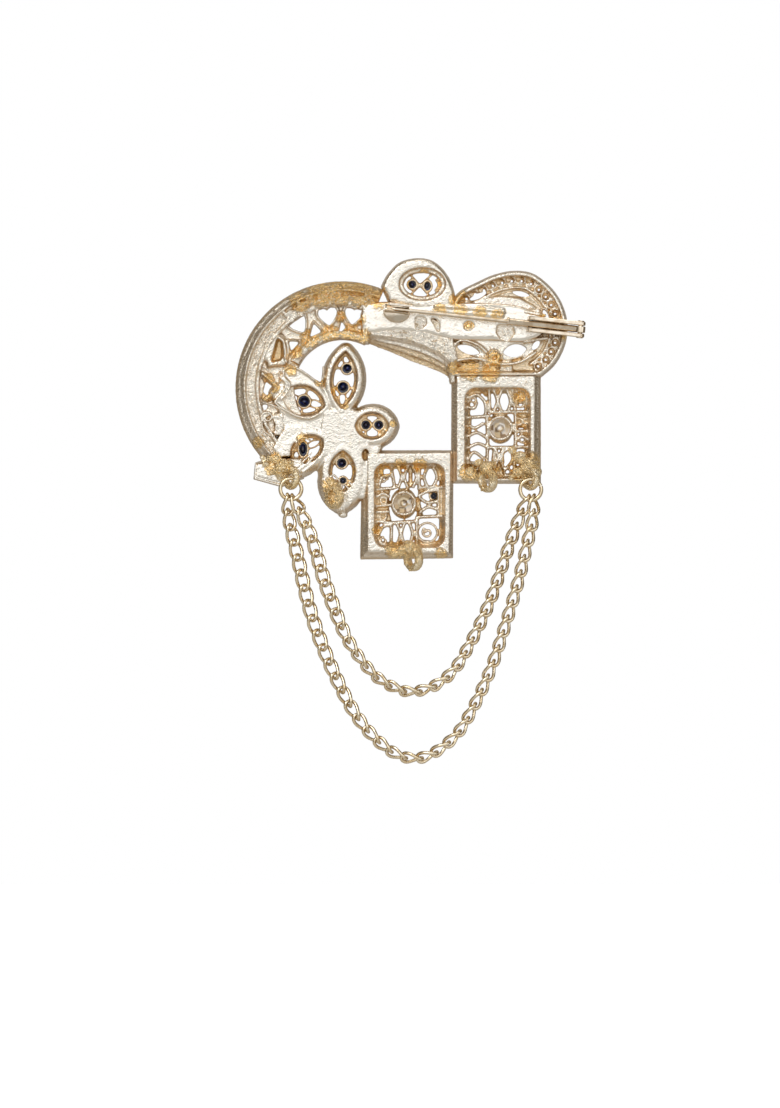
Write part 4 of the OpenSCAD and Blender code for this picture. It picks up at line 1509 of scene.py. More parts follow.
@dataclass
class Petal:
    """One petal of the flower, placed on the drawing.

    Attributes:
        cell: centre of its cell on the drawing.
        length: length of the cell in millimetres.
        width: width of the cell.
        aim: direction of its tip in degrees.
        reach: how far its outer tip goes past the cell.
        edge: width of the smooth edge round the cell.
        stones: place on the drawing, hole and stretch of each stone.
    """

    cell: Point
    length: float
    width: float
    aim: float
    reach: float
    edge: float
    stones: list[Seat]

    def shape(self) -> list[Point]:
        """Give the outline of the cell."""
        return lens(spot(*self.cell), self.length, self.width, self.aim)

    def body(self) -> list[Piece]:
        """Make the solid petal.

        Returns:
            The solids, which overlap.
        """
        cx, cz = spot(*self.cell)
        a = math.radians(self.aim)
        far = lens((cx + self.reach * math.cos(a), cz + self.reach * math.sin(a)), self.length, self.width, self.aim)
        slope = [(FRONT, 0.0), (BACK + 1.4, 0.25), (BACK + 0.55, 0.55), (BACK + 0.14, 0.95), (BACK, 1.3)]
        return [loft(grown(line, self.edge, 60), slope) for line in (self.shape(), far)]

    def relief(self) -> Piece:
        """Make the raised front of the petal."""
        return plate(grown(self.shape(), self.edge - 1.0), FRONT - 0.2, RELIEF)

    def pocket(self) -> Piece:
        """Make the cutter that opens the cell from behind and, narrower, through the front."""
        return loft(self.shape(), [(RELIEF + 0.5, 0.55), (FLOOR + 0.3, 0.5), (FLOOR, 0.12), (BACK - 0.5, -0.22)])

    def inside(self) -> list[Piece]:
        """Make the collars of the stones and the curls between them.

        Returns:
            The wires.
        """
        made = []
        line = inset(self.shape(), 0.32)
        made.append(wire(line, FLOOR + 0.45, 0.26, 2.0, closed=True))
        places = [spot(px, py) for px, py, _, _ in self.stones]
        a = math.radians(self.aim)
        across = (-math.sin(a), math.cos(a))
        for (x, z), (_, _, hole, tall) in zip(places, self.stones):
            made.append(stone_collar((x, z), hole, tall))
            for side in (-1, 1):
                reach = self.width * 0.5 - 0.1
                start = (x + across[0] * side * (hole / 2 + 0.15), z + across[1] * side * (hole / 2 + 0.15))
                end = (x + across[0] * side * reach, z + across[1] * side * reach)
                if math.dist(start, end) > 0.25:
                    made.append(wire([start, end], FLOOR + 0.5, 0.24, 2.0))
        for x, z in (self.shape()[0], self.shape()[12]):
            near = min(places, key=lambda q: math.dist(q, (x, z)))
            mid = ((x + near[0]) / 2, (z + near[1]) / 2)
            for side in (-1, 1):
                bend = (mid[0] + across[0] * side * self.width * 0.13, mid[1] + across[1] * side * self.width * 0.13)
                made.append(wire(smooth_line([(x, z), bend, near]), FLOOR + 0.55, 0.17, 2.0))
        return made


PETALS = {
    "left": Petal((303.8, 400.4), 7.8, 5.3, 165, 1.0, 1.75, [(304, 401.2, 1.9, 1.0)]),
    "upper": Petal((343.8, 380.0), 10.3, 4.75, 86, 0.0, 1.75, [(347.0, 368.5, 1.5, 1.0), (343.0, 387.3, 1.75, 1.0)]),
    "right": Petal((372.0, 426.0), 6.0, 4.75, 0, 0.3, 1.75, [(365.8, 424.8, 1.45, 1.0), (378.8, 424.8, 1.45, 1.0)]),
    "lower": Petal((342.2, 472.0), 7.6, 4.65, -92, 1.7, 2.2, [(341.7, 463.0, 1.5, 1.0), (343.0, 480.5, 1.0, 1.0)]),
    "corner": Petal((307.0, 449.0), 6.6, 4.7, 212, 1.9, 1.9, [(303.0, 449.0, 1.3, 1.7)]),
}


@dataclass
class Flower:
    """The flower: five petals cast in one with their smooth middle."""

    petals: dict[str, Petal] = field(default_factory=lambda: PETALS)

    def build(self) -> None:
        """Cast the flower."""
        cast = Casting("flower_casting")
        middle = spots((318, 430), (322, 408), (336, 406), (350, 406), (366, 412), (372, 440), (372, 454), (362, 470),
                       (330, 462), (318, 452))
        body = [plate(middle, BACK + 0.05, FRONT, 0.35, 0.3)]
        # the low plates between the left petal, the corner petal and the gallery
        body.append(plate(spots((277, 374), (289, 366.5), (301, 369.5), (321, 385), (326, 400), (318, 408), (296, 402),
                                (280, 398)), BACK + 0.1, FRONT,
                          0.25, 0.3))
        body.append(plate(spots((276, 404), (300, 414), (324, 404), (330, 430), (312, 440), (288, 434), (282, 428)),
                          BACK + 0.25, FRONT, 0.2, 0.2))
        body.append(plate(spots((284, 424), (306, 422), (330, 432), (328, 452), (300, 446), (276, 458), (270, 448)),
                          BACK + 0.1, FRONT, 0.3, 0.3))
        for petal in self.petals.values():
            body += petal.body()
            body.append(petal.relief())
        # the saddle that runs from the petals to the middle tile, and the small cup in it
        body.append(plate(spots((350, 440), (384, 446), (372, 470), (366, 500), (356, 500), (352, 470)), BACK + 0.25,
                          FRONT, 0.2, 0.3))
        body.append(plate(grown(spots((345, 515), (343, 515.5), (341, 515)), 0.5, 12), BACK + 0.6, FRONT, 0.2))
        cast.add(*body)
        cast.cut(*[petal.pocket() for petal in self.petals.values()],
                 loft(oval(spot(365.5, 455.0), 1.1, 2.0), [(FRONT - 1.2, 0.1), (BACK - 0.3, -0.15)]),
                 loft(lens(spot(286.0, 458.6), 2.8, 0.62, 4), [(FRONT - 0.4, 0.0), (BACK - 0.3, -0.1)]))
        inside = [piece for petal in self.petals.values() for piece in petal.inside()]
        inside += self.trim()
        cast.add(*inside)
        cast.cut(*[hole for petal in self.petals.values() for hole in stone_holes(petal.stones)])
        cast.finish(SMOOTH_CAST, soften=2, rough=0.035)

    def trim(self) -> list[Piece]:
        """Make the lips, ridges and wires that cross the petals' edges.

        Returns:
            The wires.
        """
        lips = [[(279.5, 371), (280, 377), (286.5, 384), (283, 392), (277.5, 399), (274.5, 402)],
                [(284, 372), (284, 377), (290, 385), (286, 394), (281, 400)],
                [(274.5, 402), (281, 408), (289, 412), (296, 416), (309, 418.5), (319, 414)],
                [(282, 372), (290, 367), (300, 370), (309, 376), (318, 383), (321, 385), (323, 377), (323.5, 366)]]
        made = [wire(smooth_line(spots(*line), 3), BACK + 0.02, 0.2, 2.0) for line in lips]
        ridges = [((297, 467), (306, 459), (312, 452.5)), ((298.5, 470.5), (308, 463), (314, 456)),
                  ((302, 473), (311, 466), (318, 458))]
        made += [wire(smooth_line(spots(*line), 3), BACK + 0.1, 0.15, 1.8) for line in ridges]
        made.append(wire(smooth_line(spots((296, 443), (300, 438.5), (306, 438), (311, 441)), 3),
                         BACK + 0.05, 0.2, 2.0))
        curls = [[(329, 486), (332, 475), (337, 478), (342, 487), (341, 498), (336, 503)],
                 [(344, 484), (348.5, 490), (347, 502)], [(349, 482), (353.5, 490), (350, 505)],
                 [(324, 486), (326, 496), (333, 505), (342, 511)]]
        made += [wire(smooth_line(spots(*line), 4), BACK + 0.3, 0.2, 2.0) for line in curls]
        return made


@dataclass
class Crescent:
    """The crescent: its grooved rim and the pierced gallery inside it, in millimetres."""

    centre: Point = (-25.7, -12.2)
    radius: float = 19.3
    gallery: float = 8.6
    start: float = 67.0
    end: float = 229.0

    def around(self, radius: float, low: float, high: float, step: float = 3.0) -> list[Point]:
        """Give places round the centre between two angles."""
        count = max(2, int(abs(high - low) / step))
        return [polar(self.centre, radius, low + (high - low) * i / count) for i in range(count + 1)]

    def sector(self, inner: float, outer: float, low: float, high: float) -> list[Point]:
        """Draw a piece of a ring."""
        return self.around(outer, low, high) + self.around(inner, high, low)

    def rim_solid(self) -> Piece:
        """Spin the rim's section round the centre: outer wall, polished ridge, sunk groove, inner ridge.

        Returns:
            The rim.
        """
        section = [(0.0, FRONT), (0.06, 5.4), (0.5, 4.5), (0.62, 4.26), (0.78, 4.18), (0.92, 4.24), (1.0, 4.05),
                   (1.5, 3.3), (1.6, 3.06), (1.76, 3.0), (1.9, 3.2), (1.98, 3.7), (2.16, 3.96), (3.55, 3.9),
                   (3.7, 3.42), (3.85, 3.16),
                   (4.2, 3.1), (4.4, 3.35), (4.5, 4.2), (4.6, FRONT)]
        rim = filled_circle(len(section))
        a = math.radians(self.start)
        for vertex, (depth, y) in zip(rim.data.vertices, section):
            r = self.radius - depth
            vertex.co = (self.centre[0] + r * math.cos(a), y, self.centre[1] + r * math.sin(a))
        edit_all()
        bpy.ops.mesh.spin(steps=70, angle=math.radians(self.end - self.start),
                          center=(self.centre[0], 0, self.centre[1]), axis=(0, 1, 0))
        bpy.ops.mesh.select_all(action="SELECT")
        bpy.ops.mesh.remove_doubles(threshold=0.001)
        bpy.ops.mesh.normals_make_consistent(inside=False)
        bpy.ops.object.mode_set(mode="OBJECT")
        return rim

    def build_rim(self) -> None:
        """Cast the rim with the grains of its groove."""
        chance = random.Random(4)
        places = []
        for _ in range(420):
            angle, r = chance.uniform(self.start + 1, self.end - 2), self.radius - chance.uniform(2.35, 3.4)
            x, z = polar(self.centre, r, angle)
            places.append((x, 3.9 + chance.uniform(-0.08, 0.1), z))
        top = []
        for _ in range(230):
            angle, r = chance.uniform(self.start + 1, 128), self.radius - chance.uniform(2.2, 4.5)
            x, z = polar(self.centre, r, angle)
            top.append((x, 3.42 + chance.uniform(-0.12, 0.15), z))
        mound = loft(self.sector(self.radius - 4.3, self.radius - 2.3, self.start, 126),
                     [(4.4, 0.0), (3.7, 0.12), (3.55, 0.5)])
        cast = Casting("crescent_rim_casting").add(self.rim_solid(), grains(places, 0.25, 5), mound,
                                                   grains(top, 0.3, 6))
        cast.finish(GRAINY_CAST, soften=1, rough=0.05)

    def heart(self, centre: Point, wide: float, tall: float, turn: float) -> list[Point]:
        """Draw a heart with its lobes away from the crescent's middle.

        Args:
            centre: its middle.
            wide: its width.
            tall: its height.
            turn: its turn in degrees.

        Returns:
            The outline.
        """
        shape = [(0.0, 0.28), (0.12, 0.42), (0.27, 0.47), (0.42, 0.38), (0.5, 0.18), (0.42, -0.05), (0.22, -0.32),
                 (0.0, -0.53)]
        full = shape + [(-x, z) for x, z in reversed(shape[1:-1])]
        a = math.radians(turn)
        return [placed(centre, x * wide, z * tall, a) for x, z in full]

    def scallops(self, heart_at: Point, wide: float, turn: float) -> list[Piece]:
        """Hang four small bumps from the top of a heart.

        Args:
            heart_at: the heart's middle.
            wide: its width.
            turn: its turn in degrees.

        Returns:
            The bumps.
        """
        made = []
        a = math.radians(turn)
        for share in (-0.32, -0.11, 0.11, 0.32):
            x, z = heart_at[0] + share * wide * math.cos(a), heart_at[1] + share * wide * math.sin(a)
            lift = wide * 0.42
            made.append(ball((x - lift * math.sin(a), FLOOR - 0.9, z + lift * math.cos(a)), 0.36, 2.2))
        return made

    def build_gallery(self) -> None:
        """Cast the gallery: hearts, triangles, pockets, and the curls at its lower end."""
        cast = Casting("gallery_casting")
        web = plate(self.sector(self.gallery, self.radius - 4.2, self.start - 5, 214), FLOOR - 0.7, FRONT, 0.08)
        rail = loft(self.sector(self.gallery, self.gallery + 1.9, self.start - 3, 152),
                    [(FRONT, 0.0), (BACK + 0.7, 0.15), (BACK + 0.25, 0.4), (BACK + 0.1, 0.7)])
        post = plate(spots((361.5, 303), (369, 303), (369.5, 345), (361.5, 343)), BACK, FRONT, 0.12, 0.2)
        block = plate(spots((268, 330), (284, 334), (290, 352), (288, 366), (268, 368), (263, 356)), BACK + 0.35, FRONT,
                      0.15, 0.3)
        cast.add(web, rail, post, block)
        hearts = [(spot(298.4, 323.5), 3.4, 3.6, 33), (spot(327.8, 315.6), 3.6, 3.5, 9),
                  (spot(353.2, 315.2), 3.3, 3.3, -9)]
        lines = [self.heart(*heart) for heart in hearts]
        gaps = [spots((288.5, 341), (299.5, 341.5), (291.0, 351)), spots((313.5, 323), (321.5, 331.5), (309.5, 337)),
                spots((341.5, 320), (345.5, 327.5), (338.5, 333.5)),
                spots((265.5, 381), (273.0, 387), (267.5, 395.5), (262.8, 392)),
                spots((268.5, 438.5), (278, 437.5), (272.5, 447), (267, 446)),
                spots((260.0, 448), (264.5, 450), (263.5, 456.5), (258.5, 454)),
                spots((262.5, 404), (268, 404.5), (266, 410), (261.8, 409.5))]
        cutters = [loft(line, [(RELIEF, 0.12), (BACK - 0.3, -0.12)]) for line in lines]
        cutters += [loft(line, [(RELIEF, 0.06), (BACK - 0.3, -0.12)]) for line in gaps]
        # the closed pocket beside the rail
        cutters.append(loft(spots((276.5, 339), (280.5, 338.5), (283.0, 343), (283.0, 357), (281, 360.5), (272, 363),
                                  (271, 360)),
                            [(FRONT - 0.5, 0.25), (BACK - 0.4, -0.1)]))
        cast.cut(*cutters)
        wires = [wire(inset(counter(line), -0.2), FLOOR - 1.1, 0.2, 3.2, closed=True) for line in lines]
        wires += [wire(inset(counter(line), -0.2), FLOOR - 0.9, 0.18, 2.8, closed=True) for line in gaps[:3]]
        for at, wide, _, turn in hearts:
            wires += self.scallops(at, wide, turn)
        curved = [([(273, 331), (268, 339), (264, 352), (264, 362)], 0.18),
                  ([(262, 366), (266, 368), (269, 371.5)], 0.22),
                  ([(261.5, 373), (267, 377.5), (273, 383), (276, 388), (271, 394.5), (264, 401)], 0.42),
                  ([(283.5, 340), (285.5, 349), (285, 358), (287, 363)], 0.2),
                  ([(262, 403), (270, 404.5), (280, 409), (286, 415)], 0.2),
                  ([(262.5, 418), (262, 425), (265, 432), (271, 436)], 0.2),
                  ([(278, 337), (283.5, 341.5), (284.5, 350)], 0.22)]
        wires += [wire(smooth_line(spots(*line), 4), BACK + 0.45, radius, 2.4) for line, radius in curved]
        scroll = [wire(spiral(spot(267.5, 417.5), 1.15, 215, -1.45, 0.2), BACK + 0.55, 0.24, 2.4)]
        box = plate(spots((273.5, 413), (279, 411.5), (285.5, 417), (285, 427), (282, 435.5), (273.5, 437), (274, 425)),
                    BACK + 0.25, FRONT, 0.15, 0.2)
        chance = random.Random(8)
        places = []
        for _ in range(190):
            x, z = polar(self.centre, self.gallery + chance.uniform(0.25, 1.6), chance.uniform(self.start - 2, 130))
            places.append((x, BACK + 0.22 + chance.uniform(-0.06, 0.1), z))
        for _ in range(60):
            x, z = spot(chance.uniform(274.5, 284), chance.uniform(414, 435))
            places.append((x, BACK + 0.25 + chance.uniform(-0.06, 0.1), z))
        cast.add(*wires, *scroll, box, grains(places, 0.24, 9))
        cast.finish(OPEN_CAST, soften=2)


@dataclass
class CornerPlate:
    """The smooth corner plate under the crescent's lower end."""

    def build(self) -> None:
        """Cast the corner."""
        cast = Casting("corner_casting")
        base = plate(spots((254.5, 462), (252.8, 479.5), (281.5, 487.5), (304, 479), (306, 456), (276, 456)),
                     BACK + 0.3, FRONT, 0.4, 0.4)
        lip = wire(spots((256, 463), (255, 478.5), (281, 485.5), (300, 478)), BACK + 0.45, 0.22, 1.4)
        cast.add(base, lip)
        cast.finish(PLAIN_CAST, soften=2, rough=0.04)


@dataclass
class TopPetal:
    """The petal over the pin: a bright plate with an oval cell and two stones."""

    stones: list[Seat] = field(
        default_factory=lambda: [(412.4, 284.2, 1.25, 1.0), (427.6, 285.7, 1.05, 1.35)])

    def build(self) -> None:
        """Cast the petal."""
        cast = Casting("top_petal_casting")
        edge = [(380.3, 286.0), (383.5, 279.5), (388, 272.5), (396.5, 263.5), (406, 259.0), (418.5, 257.2),
                (431, 259.2), (441.5, 266.5), (450, 278), (454.8, 291), (456.5, 303)]
        outline = smooth_line(spots(*edge), 3) + spots((452, 309), (420, 311), (388, 303))
        cast.add(plate(outline, BACK, FRONT, 0.4, 0.35), plate(inset(counter(outline), 0.9), FRONT - 0.2, RELIEF))
        cell = oval(spot(422.3, 284.3), 8.2, 5.7, 36)
        cast.cut(loft(cell, [(RELIEF + 0.4, 0.75), (FLOOR + 0.3, 0.7), (FLOOR - 0.1, 0.12), (BACK - 0.4, -0.25)]))
        inside = [wire(inset(cell, 0.42), FLOOR + 0.1, 0.36, 1.9, closed=True)]
        beads = [(x, FLOOR - 0.62, z) for x, z in inset(oval(spot(422.3, 284.3), 8.2, 5.7, 34), 0.42)]
        inside.append(grains(beads, 0.27, 21))
        cross = spot(420.0, 285.0)
        for px, py, hole, tall in self.stones:
            inside.append(stone_collar(spot(px, py), hole, tall))
        for end in spots((410, 274), (431.5, 274.5), (409, 296), (430, 296)):
            inside.append(wire([cross, end], FLOOR + 0.45, 0.21, 2.4))
        inside.append(wire(smooth_line(spots((436, 279), (438.5, 285), (435, 291))), FLOOR + 0.4, 0.22, 2.2))
        inside.append(wire(smooth_line(spots((405, 279), (402, 285), (406, 291.5))), FLOOR + 0.4, 0.22, 2.2))
        cast.add(*inside)
        cast.cut(*stone_holes(self.stones))
        cast.finish(SMOOTH_CAST, soften=2, rough=0.04)


@dataclass
class Ribbon:
    """The folded ribbon: a grainy back that folds down to a smooth lower side."""

    def build(self) -> None:
        """Cast the ribbon."""
        top = spots((363.0, 302), (400, 306), (440, 322), (455, 345), (459, 362))
        fold = spots((363.5, 333.5), (380, 335), (406, 338.5), (430, 347), (446, 357.5), (455, 371.5))
        edge = spots((363.0, 341.5), (392.0, 352.5), (410, 360.5), (429.0, 367.5), (444, 374.0), (455, 381.5))
        back = smooth_line(fold, 4)
        front = smooth_line(edge, 4)
        core = plate([*top, *reversed(back)], BACK + 0.25, FRONT, 0.0, 0.15)
        strips = []
        rounds = (0.0, 0.2, 0.45, 0.72, 1.0)
        for a, b in zip(rounds, rounds[1:]):
            near, far = between(back, front, a), between(back, front, b)
            low = BACK + 0.3 + 2.4 * b ** 1.5
            strips.append(loft([*[(x, z + 0.35) for x, z in near], *reversed(far)], [(FRONT, 0.0), (low, 0.0)]))
        chance = random.Random(31)
        places = []
        for _ in range(330):
            k = chance.uniform(0, len(back) - 1.01)
            i, t = int(k), k - int(k)
            x = back[i][0] * (1 - t) + back[i + 1][0] * t
            z = back[i][1] * (1 - t) + back[i + 1][1] * t + chance.uniform(0.1, 2.6)
            places.append((x, BACK + 0.27 + chance.uniform(-0.04, 0.08), z))
        cast = Casting("ribbon_casting").add(core, *strips, grains(places, 0.27, 32))
        seam = wire(smooth_line(spots((363.5, 334), (380, 335.5), (406, 339), (430, 347.5), (447, 358), (457, 373))),
                    BACK + 0.35, 0.2, 1.5)
        cast.add(seam, plate(spots((447.5, 366), (455.5, 366), (456.5, 384), (449.5, 384)), BACK, FRONT, 0.2, 0.2))
        cast.finish(GRAINY_CAST, soften=1, rough=0.11)


@dataclass
class Leaf:
    """The smooth bright leaf behind the pin, with the ridge over it and the holes under it."""

    def build(self) -> None:
        """Cast the leaf."""
        edge = [(363, 306), (390, 301), (418, 304), (455, 302), (500, 303), (522, 306), (541, 314), (549, 322),
                (545, 333), (535, 340), (520, 343.5), (500, 342), (478, 341.5), (455, 341), (440, 338), (420, 334),
                (395, 332), (363.5, 333)]
        outline = smooth_line(spots(*edge), 3, closed=True)
        cast = Casting("leaf_casting")
        bars = [wire(smooth_line(spots((434, 306), (460, 307.5), (485, 309.5), (505, 311.5))), BACK - 0.05, 0.42, 0.8),
                wire(smooth_line(spots((438, 311), (460, 312.5), (485, 314.5), (503, 316.0))), BACK - 0.02, 0.3, 0.8)]
        chance = random.Random(41)
        row = [(spot(px, 0)[0], BACK - 0.1, spot(0, 308.8 + (px - 440) * 0.085 + chance.uniform(-1.5, 1.5))[1])
               for px in (chance.uniform(437, 505) for _ in range(80))]
        cast.add(loft(outline, [(FRONT, 0.0), (BACK + 0.5, 0.15), (BACK + 0.1, 0.35), (BACK - 0.05, 0.75)]), *bars,
                 grains(row, 0.17, 42))
        cast.cut(loft(oval(spot(421.8, 322.5), 1.6, 2.1), [(BACK + 0.7, 0.1), (BACK - 0.6, -0.1)]),
                 loft(oval(spot(417.6, 323.5), 0.8, 2.3), [(FLOOR, 0.0), (BACK - 0.6, -0.1)]),
                 loft(spots((430, 318), (436, 319), (439.5, 324), (438.5, 336), (436.5, 330), (434, 324)),
                      [(BACK + 0.9, 0.1), (BACK - 0.6, -0.1)]),
                 loft(oval(spot(468.8, 326.0), 1.9, 1.7), [(BACK + 1.0, 0.15), (BACK - 0.6, -0.1)]),
                 loft(spots((498, 325), (512, 325), (514.5, 333), (508, 342), (500, 339), (496.5, 332)),
                      [(FLOOR, 0.2), (BACK - 0.6, -0.15)]))
        cast.add(ball((spot(469, 327)[0], BACK + 0.55, spot(469, 327)[1]), 0.7, 0.7))
        cast.finish(PLAIN_CAST, soften=3, rough=0.02, keep=0.45)


@dataclass
class Loop:
    """The teardrop loop: a rim, a band of eyelets and curls, a scalloped ring and a grooved foot."""

    def outline(self) -> list[Point]:
        """Draw the loop's outer edge.

        Returns:
            The outline, counter-clockwise.
        """
        edge = [(447.3, 313.1), (457.1, 292.6), (479.3, 280.3), (494.1, 273.8), (512.6, 270.0), (532.3, 272.2),
                (549.6, 284.6), (561.9, 301.3), (568.1, 321.7), (566.3, 343.3), (556.4, 363.8), (541.0, 378.0)]
        return counter(smooth_line(spots(*edge), 5) + spots((447.5, 378.5)))

    def along(self, line: Sequence[Point], count: int, first: float, last: float) -> list[tuple[Point, float]]:
        """Spread places along a line between two shares of it, each with the line's direction.

        Args:
            line: places on the line.
            count: number of places to give.
            first: share where the first lies.
            last: share where the last lies.

        Returns:
            The places, each with the direction in degrees.
        """
        run = [0.0]
        for a, b in zip(line, line[1:]):
            run.append(run[-1] + math.dist(a, b))
        made = []
        for i in range(count):
            s = run[-1] * (first + (last - first) * i / (count - 1))
            k = max(j for j in range(len(run) - 1) if run[j] <= s)
            t = (s - run[k]) / (run[k + 1] - run[k])
            a, b = line[k], line[k + 1]
            made.append(((a[0] + (b[0] - a[0]) * t, a[1] + (b[1] - a[1]) * t),
                         math.degrees(math.atan2(b[1] - a[1], b[0] - a[0]))))
        return made

    def build(self) -> None:
        """Cast the loop."""
        outer = self.outline()
        arc = smooth_line(spots((449, 313.1), (457.1, 292.6), (479.3, 280.3), (494.1, 273.8), (512.6, 270.0),
                                                (532.3, 272.2), (549.6, 284.6), (561.9, 301.3), (568.1, 321.7),
                                                (566.3, 343.3), (556.4, 363.8), (541.0, 378.0)), 6)
        cast = Casting("loop_casting")
        cast.add(plate(outer, BACK + 0.1, FRONT, 0.42, 0.3))
        cast.cut(loft(inset(outer, 1.05), [(FLOOR - 0.15, 0.25), (BACK - 0.5, -0.15)]))
        heart = spots((462, 306), (480, 298), (500, 295), (520, 297), (536, 306), (546, 322), (543, 342), (532, 356),
                      (510, 362), (480, 360), (460, 350))
        cast.add(plate(counter(heart), BACK + 0.9, FLOOR, 0.2, 0.2))
        middle = [(p[0] + 1.95 * n[0], p[1] + 1.95 * n[1]) for p, n in self.normals(arc)]
        inner = [(p[0] + 3.15 * n[0], p[1] + 3.15 * n[1]) for p, n in self.normals(arc)]
        scallops = [(p[0] + 3.95 * n[0], p[1] + 3.95 * n[1]) for p, n in self.normals(arc)]
        bits = [wire(smooth_line(inner[::3], 3), FLOOR - 0.35, 0.24, 2.2),
                wire(smooth_line(scallops[::4], 3), FLOOR - 0.1, 0.2, 2.0)]
        for (x, z), turn in self.along(scallops, 21, 0.06, 0.94):
            bits.append(wire([polar((x, z), 0.52, turn + 180 + a) for a in range(0, 181, 30)], FLOOR - 0.1, 0.17, 1.8))
        holes = []
        for i, ((x, z), turn) in enumerate(self.along(middle, 19, 0.05, 0.97)):
            if i < 9:
                bits.append(wire(spiral((x, z), 0.85, turn + 130, -0.85, 0.4), FLOOR - 0.35, 0.19, 2.2))
                bits.append(wire([polar((x, z), 0.95, turn + 200), polar((x, z), 1.15, turn + 265)], FLOOR - 0.3, 0.17,
                                 2.2))
            else:
                bits.append(wire(oval((x, z), 1.6, 1.5, 18, turn), FLOOR - 0.5, 0.2, 2.8, closed=True))
                bits.append(wire(spiral((x, z), 0.42, turn, 0.7, 0.5), FLOOR - 0.2, 0.15, 1.8))
            holes.append(loft(oval((x, z), 0.5, 0.62, 10, turn), [(RELIEF, 0.0), (BACK, 0.0)]))
        # the grooved foot, its grains, and the gold scroll over it
        chance = random.Random(51)
        foot = [(spot(chance.uniform(452, 512), 0)[0], FLOOR - 0.5 + chance.uniform(-0.2, 0.2),
                 spot(0, chance.uniform(363, 374))[1])
                for _ in range(240)]
        bits += [grains(foot, 0.27, 52), wire(spiral(spot(495, 356.5), 1.15, 100, 1.3), BACK + 0.7, 0.26, 2.0),
                 wire(spiral(spot(487, 361.5), 0.8, 10, -1.1), BACK + 0.9, 0.24, 2.0),
                 wire(smooth_line(spots((452, 361.5), (475, 358.5), (500, 364), (520, 362), (536, 352))), BACK + 0.9,
                      0.32, 2.4),
                 wire(smooth_line(spots((450, 375.0), (480, 374.5), (515, 374.5), (536, 374))), BACK + 0.7, 0.34, 2.4),
                 wire(smooth_line(spots((453, 347), (462, 340), (478, 345), (487, 353))), BACK + 0.8, 0.28, 2.0)]
        stay = [wire(spots((524, 312), (546, 316)), BACK + 0.3, 0.4, 1.6),
                wire(spots((523, 342), (548, 338)), BACK + 0.6, 0.34, 2.0)]
        rough = [(spot(chance.uniform(527, 552), 0)[0], BACK + 0.45 + chance.uniform(-0.2, 0.3),
                  spot(0, chance.uniform(309, 324))[1])
                 for _ in range(60)]
        cast.add(*bits, *stay, grains(rough, 0.27, 53))
        gaps = [lens(spot(468.5, 349.5), 4.4, 1.5, -18), lens(spot(515, 350.5), 4.3, 2.3, 10),
                lens(spot(478, 296), 3.6, 0.9, 24),
                lens(spot(521, 293.5), 3.4, 0.9, -12), lens(spot(546, 315), 2.4, 0.8, -66),
                lens(spot(536, 345), 2.2, 1.0, 50)]
        cast.cut(*holes, *[loft(line, [(RELIEF, 0.0), (BACK, -0.08)]) for line in gaps])
        cast.finish(OPEN_CAST, soften=2)

    def normals(self, line: Sequence[Point]) -> list[tuple[Point, Point]]:
        """Pair each place on a line with its direction into the loop.

        Args:
            line: places on the line.

        Returns:
            Each place with its direction.
        """
        made = []
        for i, p in enumerate(line):
            a, b = line[max(0, i - 1)], line[min(len(line) - 1, i + 1)]
            d = math.dist(a, b)
            made.append((p, ((b[1] - a[1]) / d, -(b[0] - a[0]) / d)))
        return made


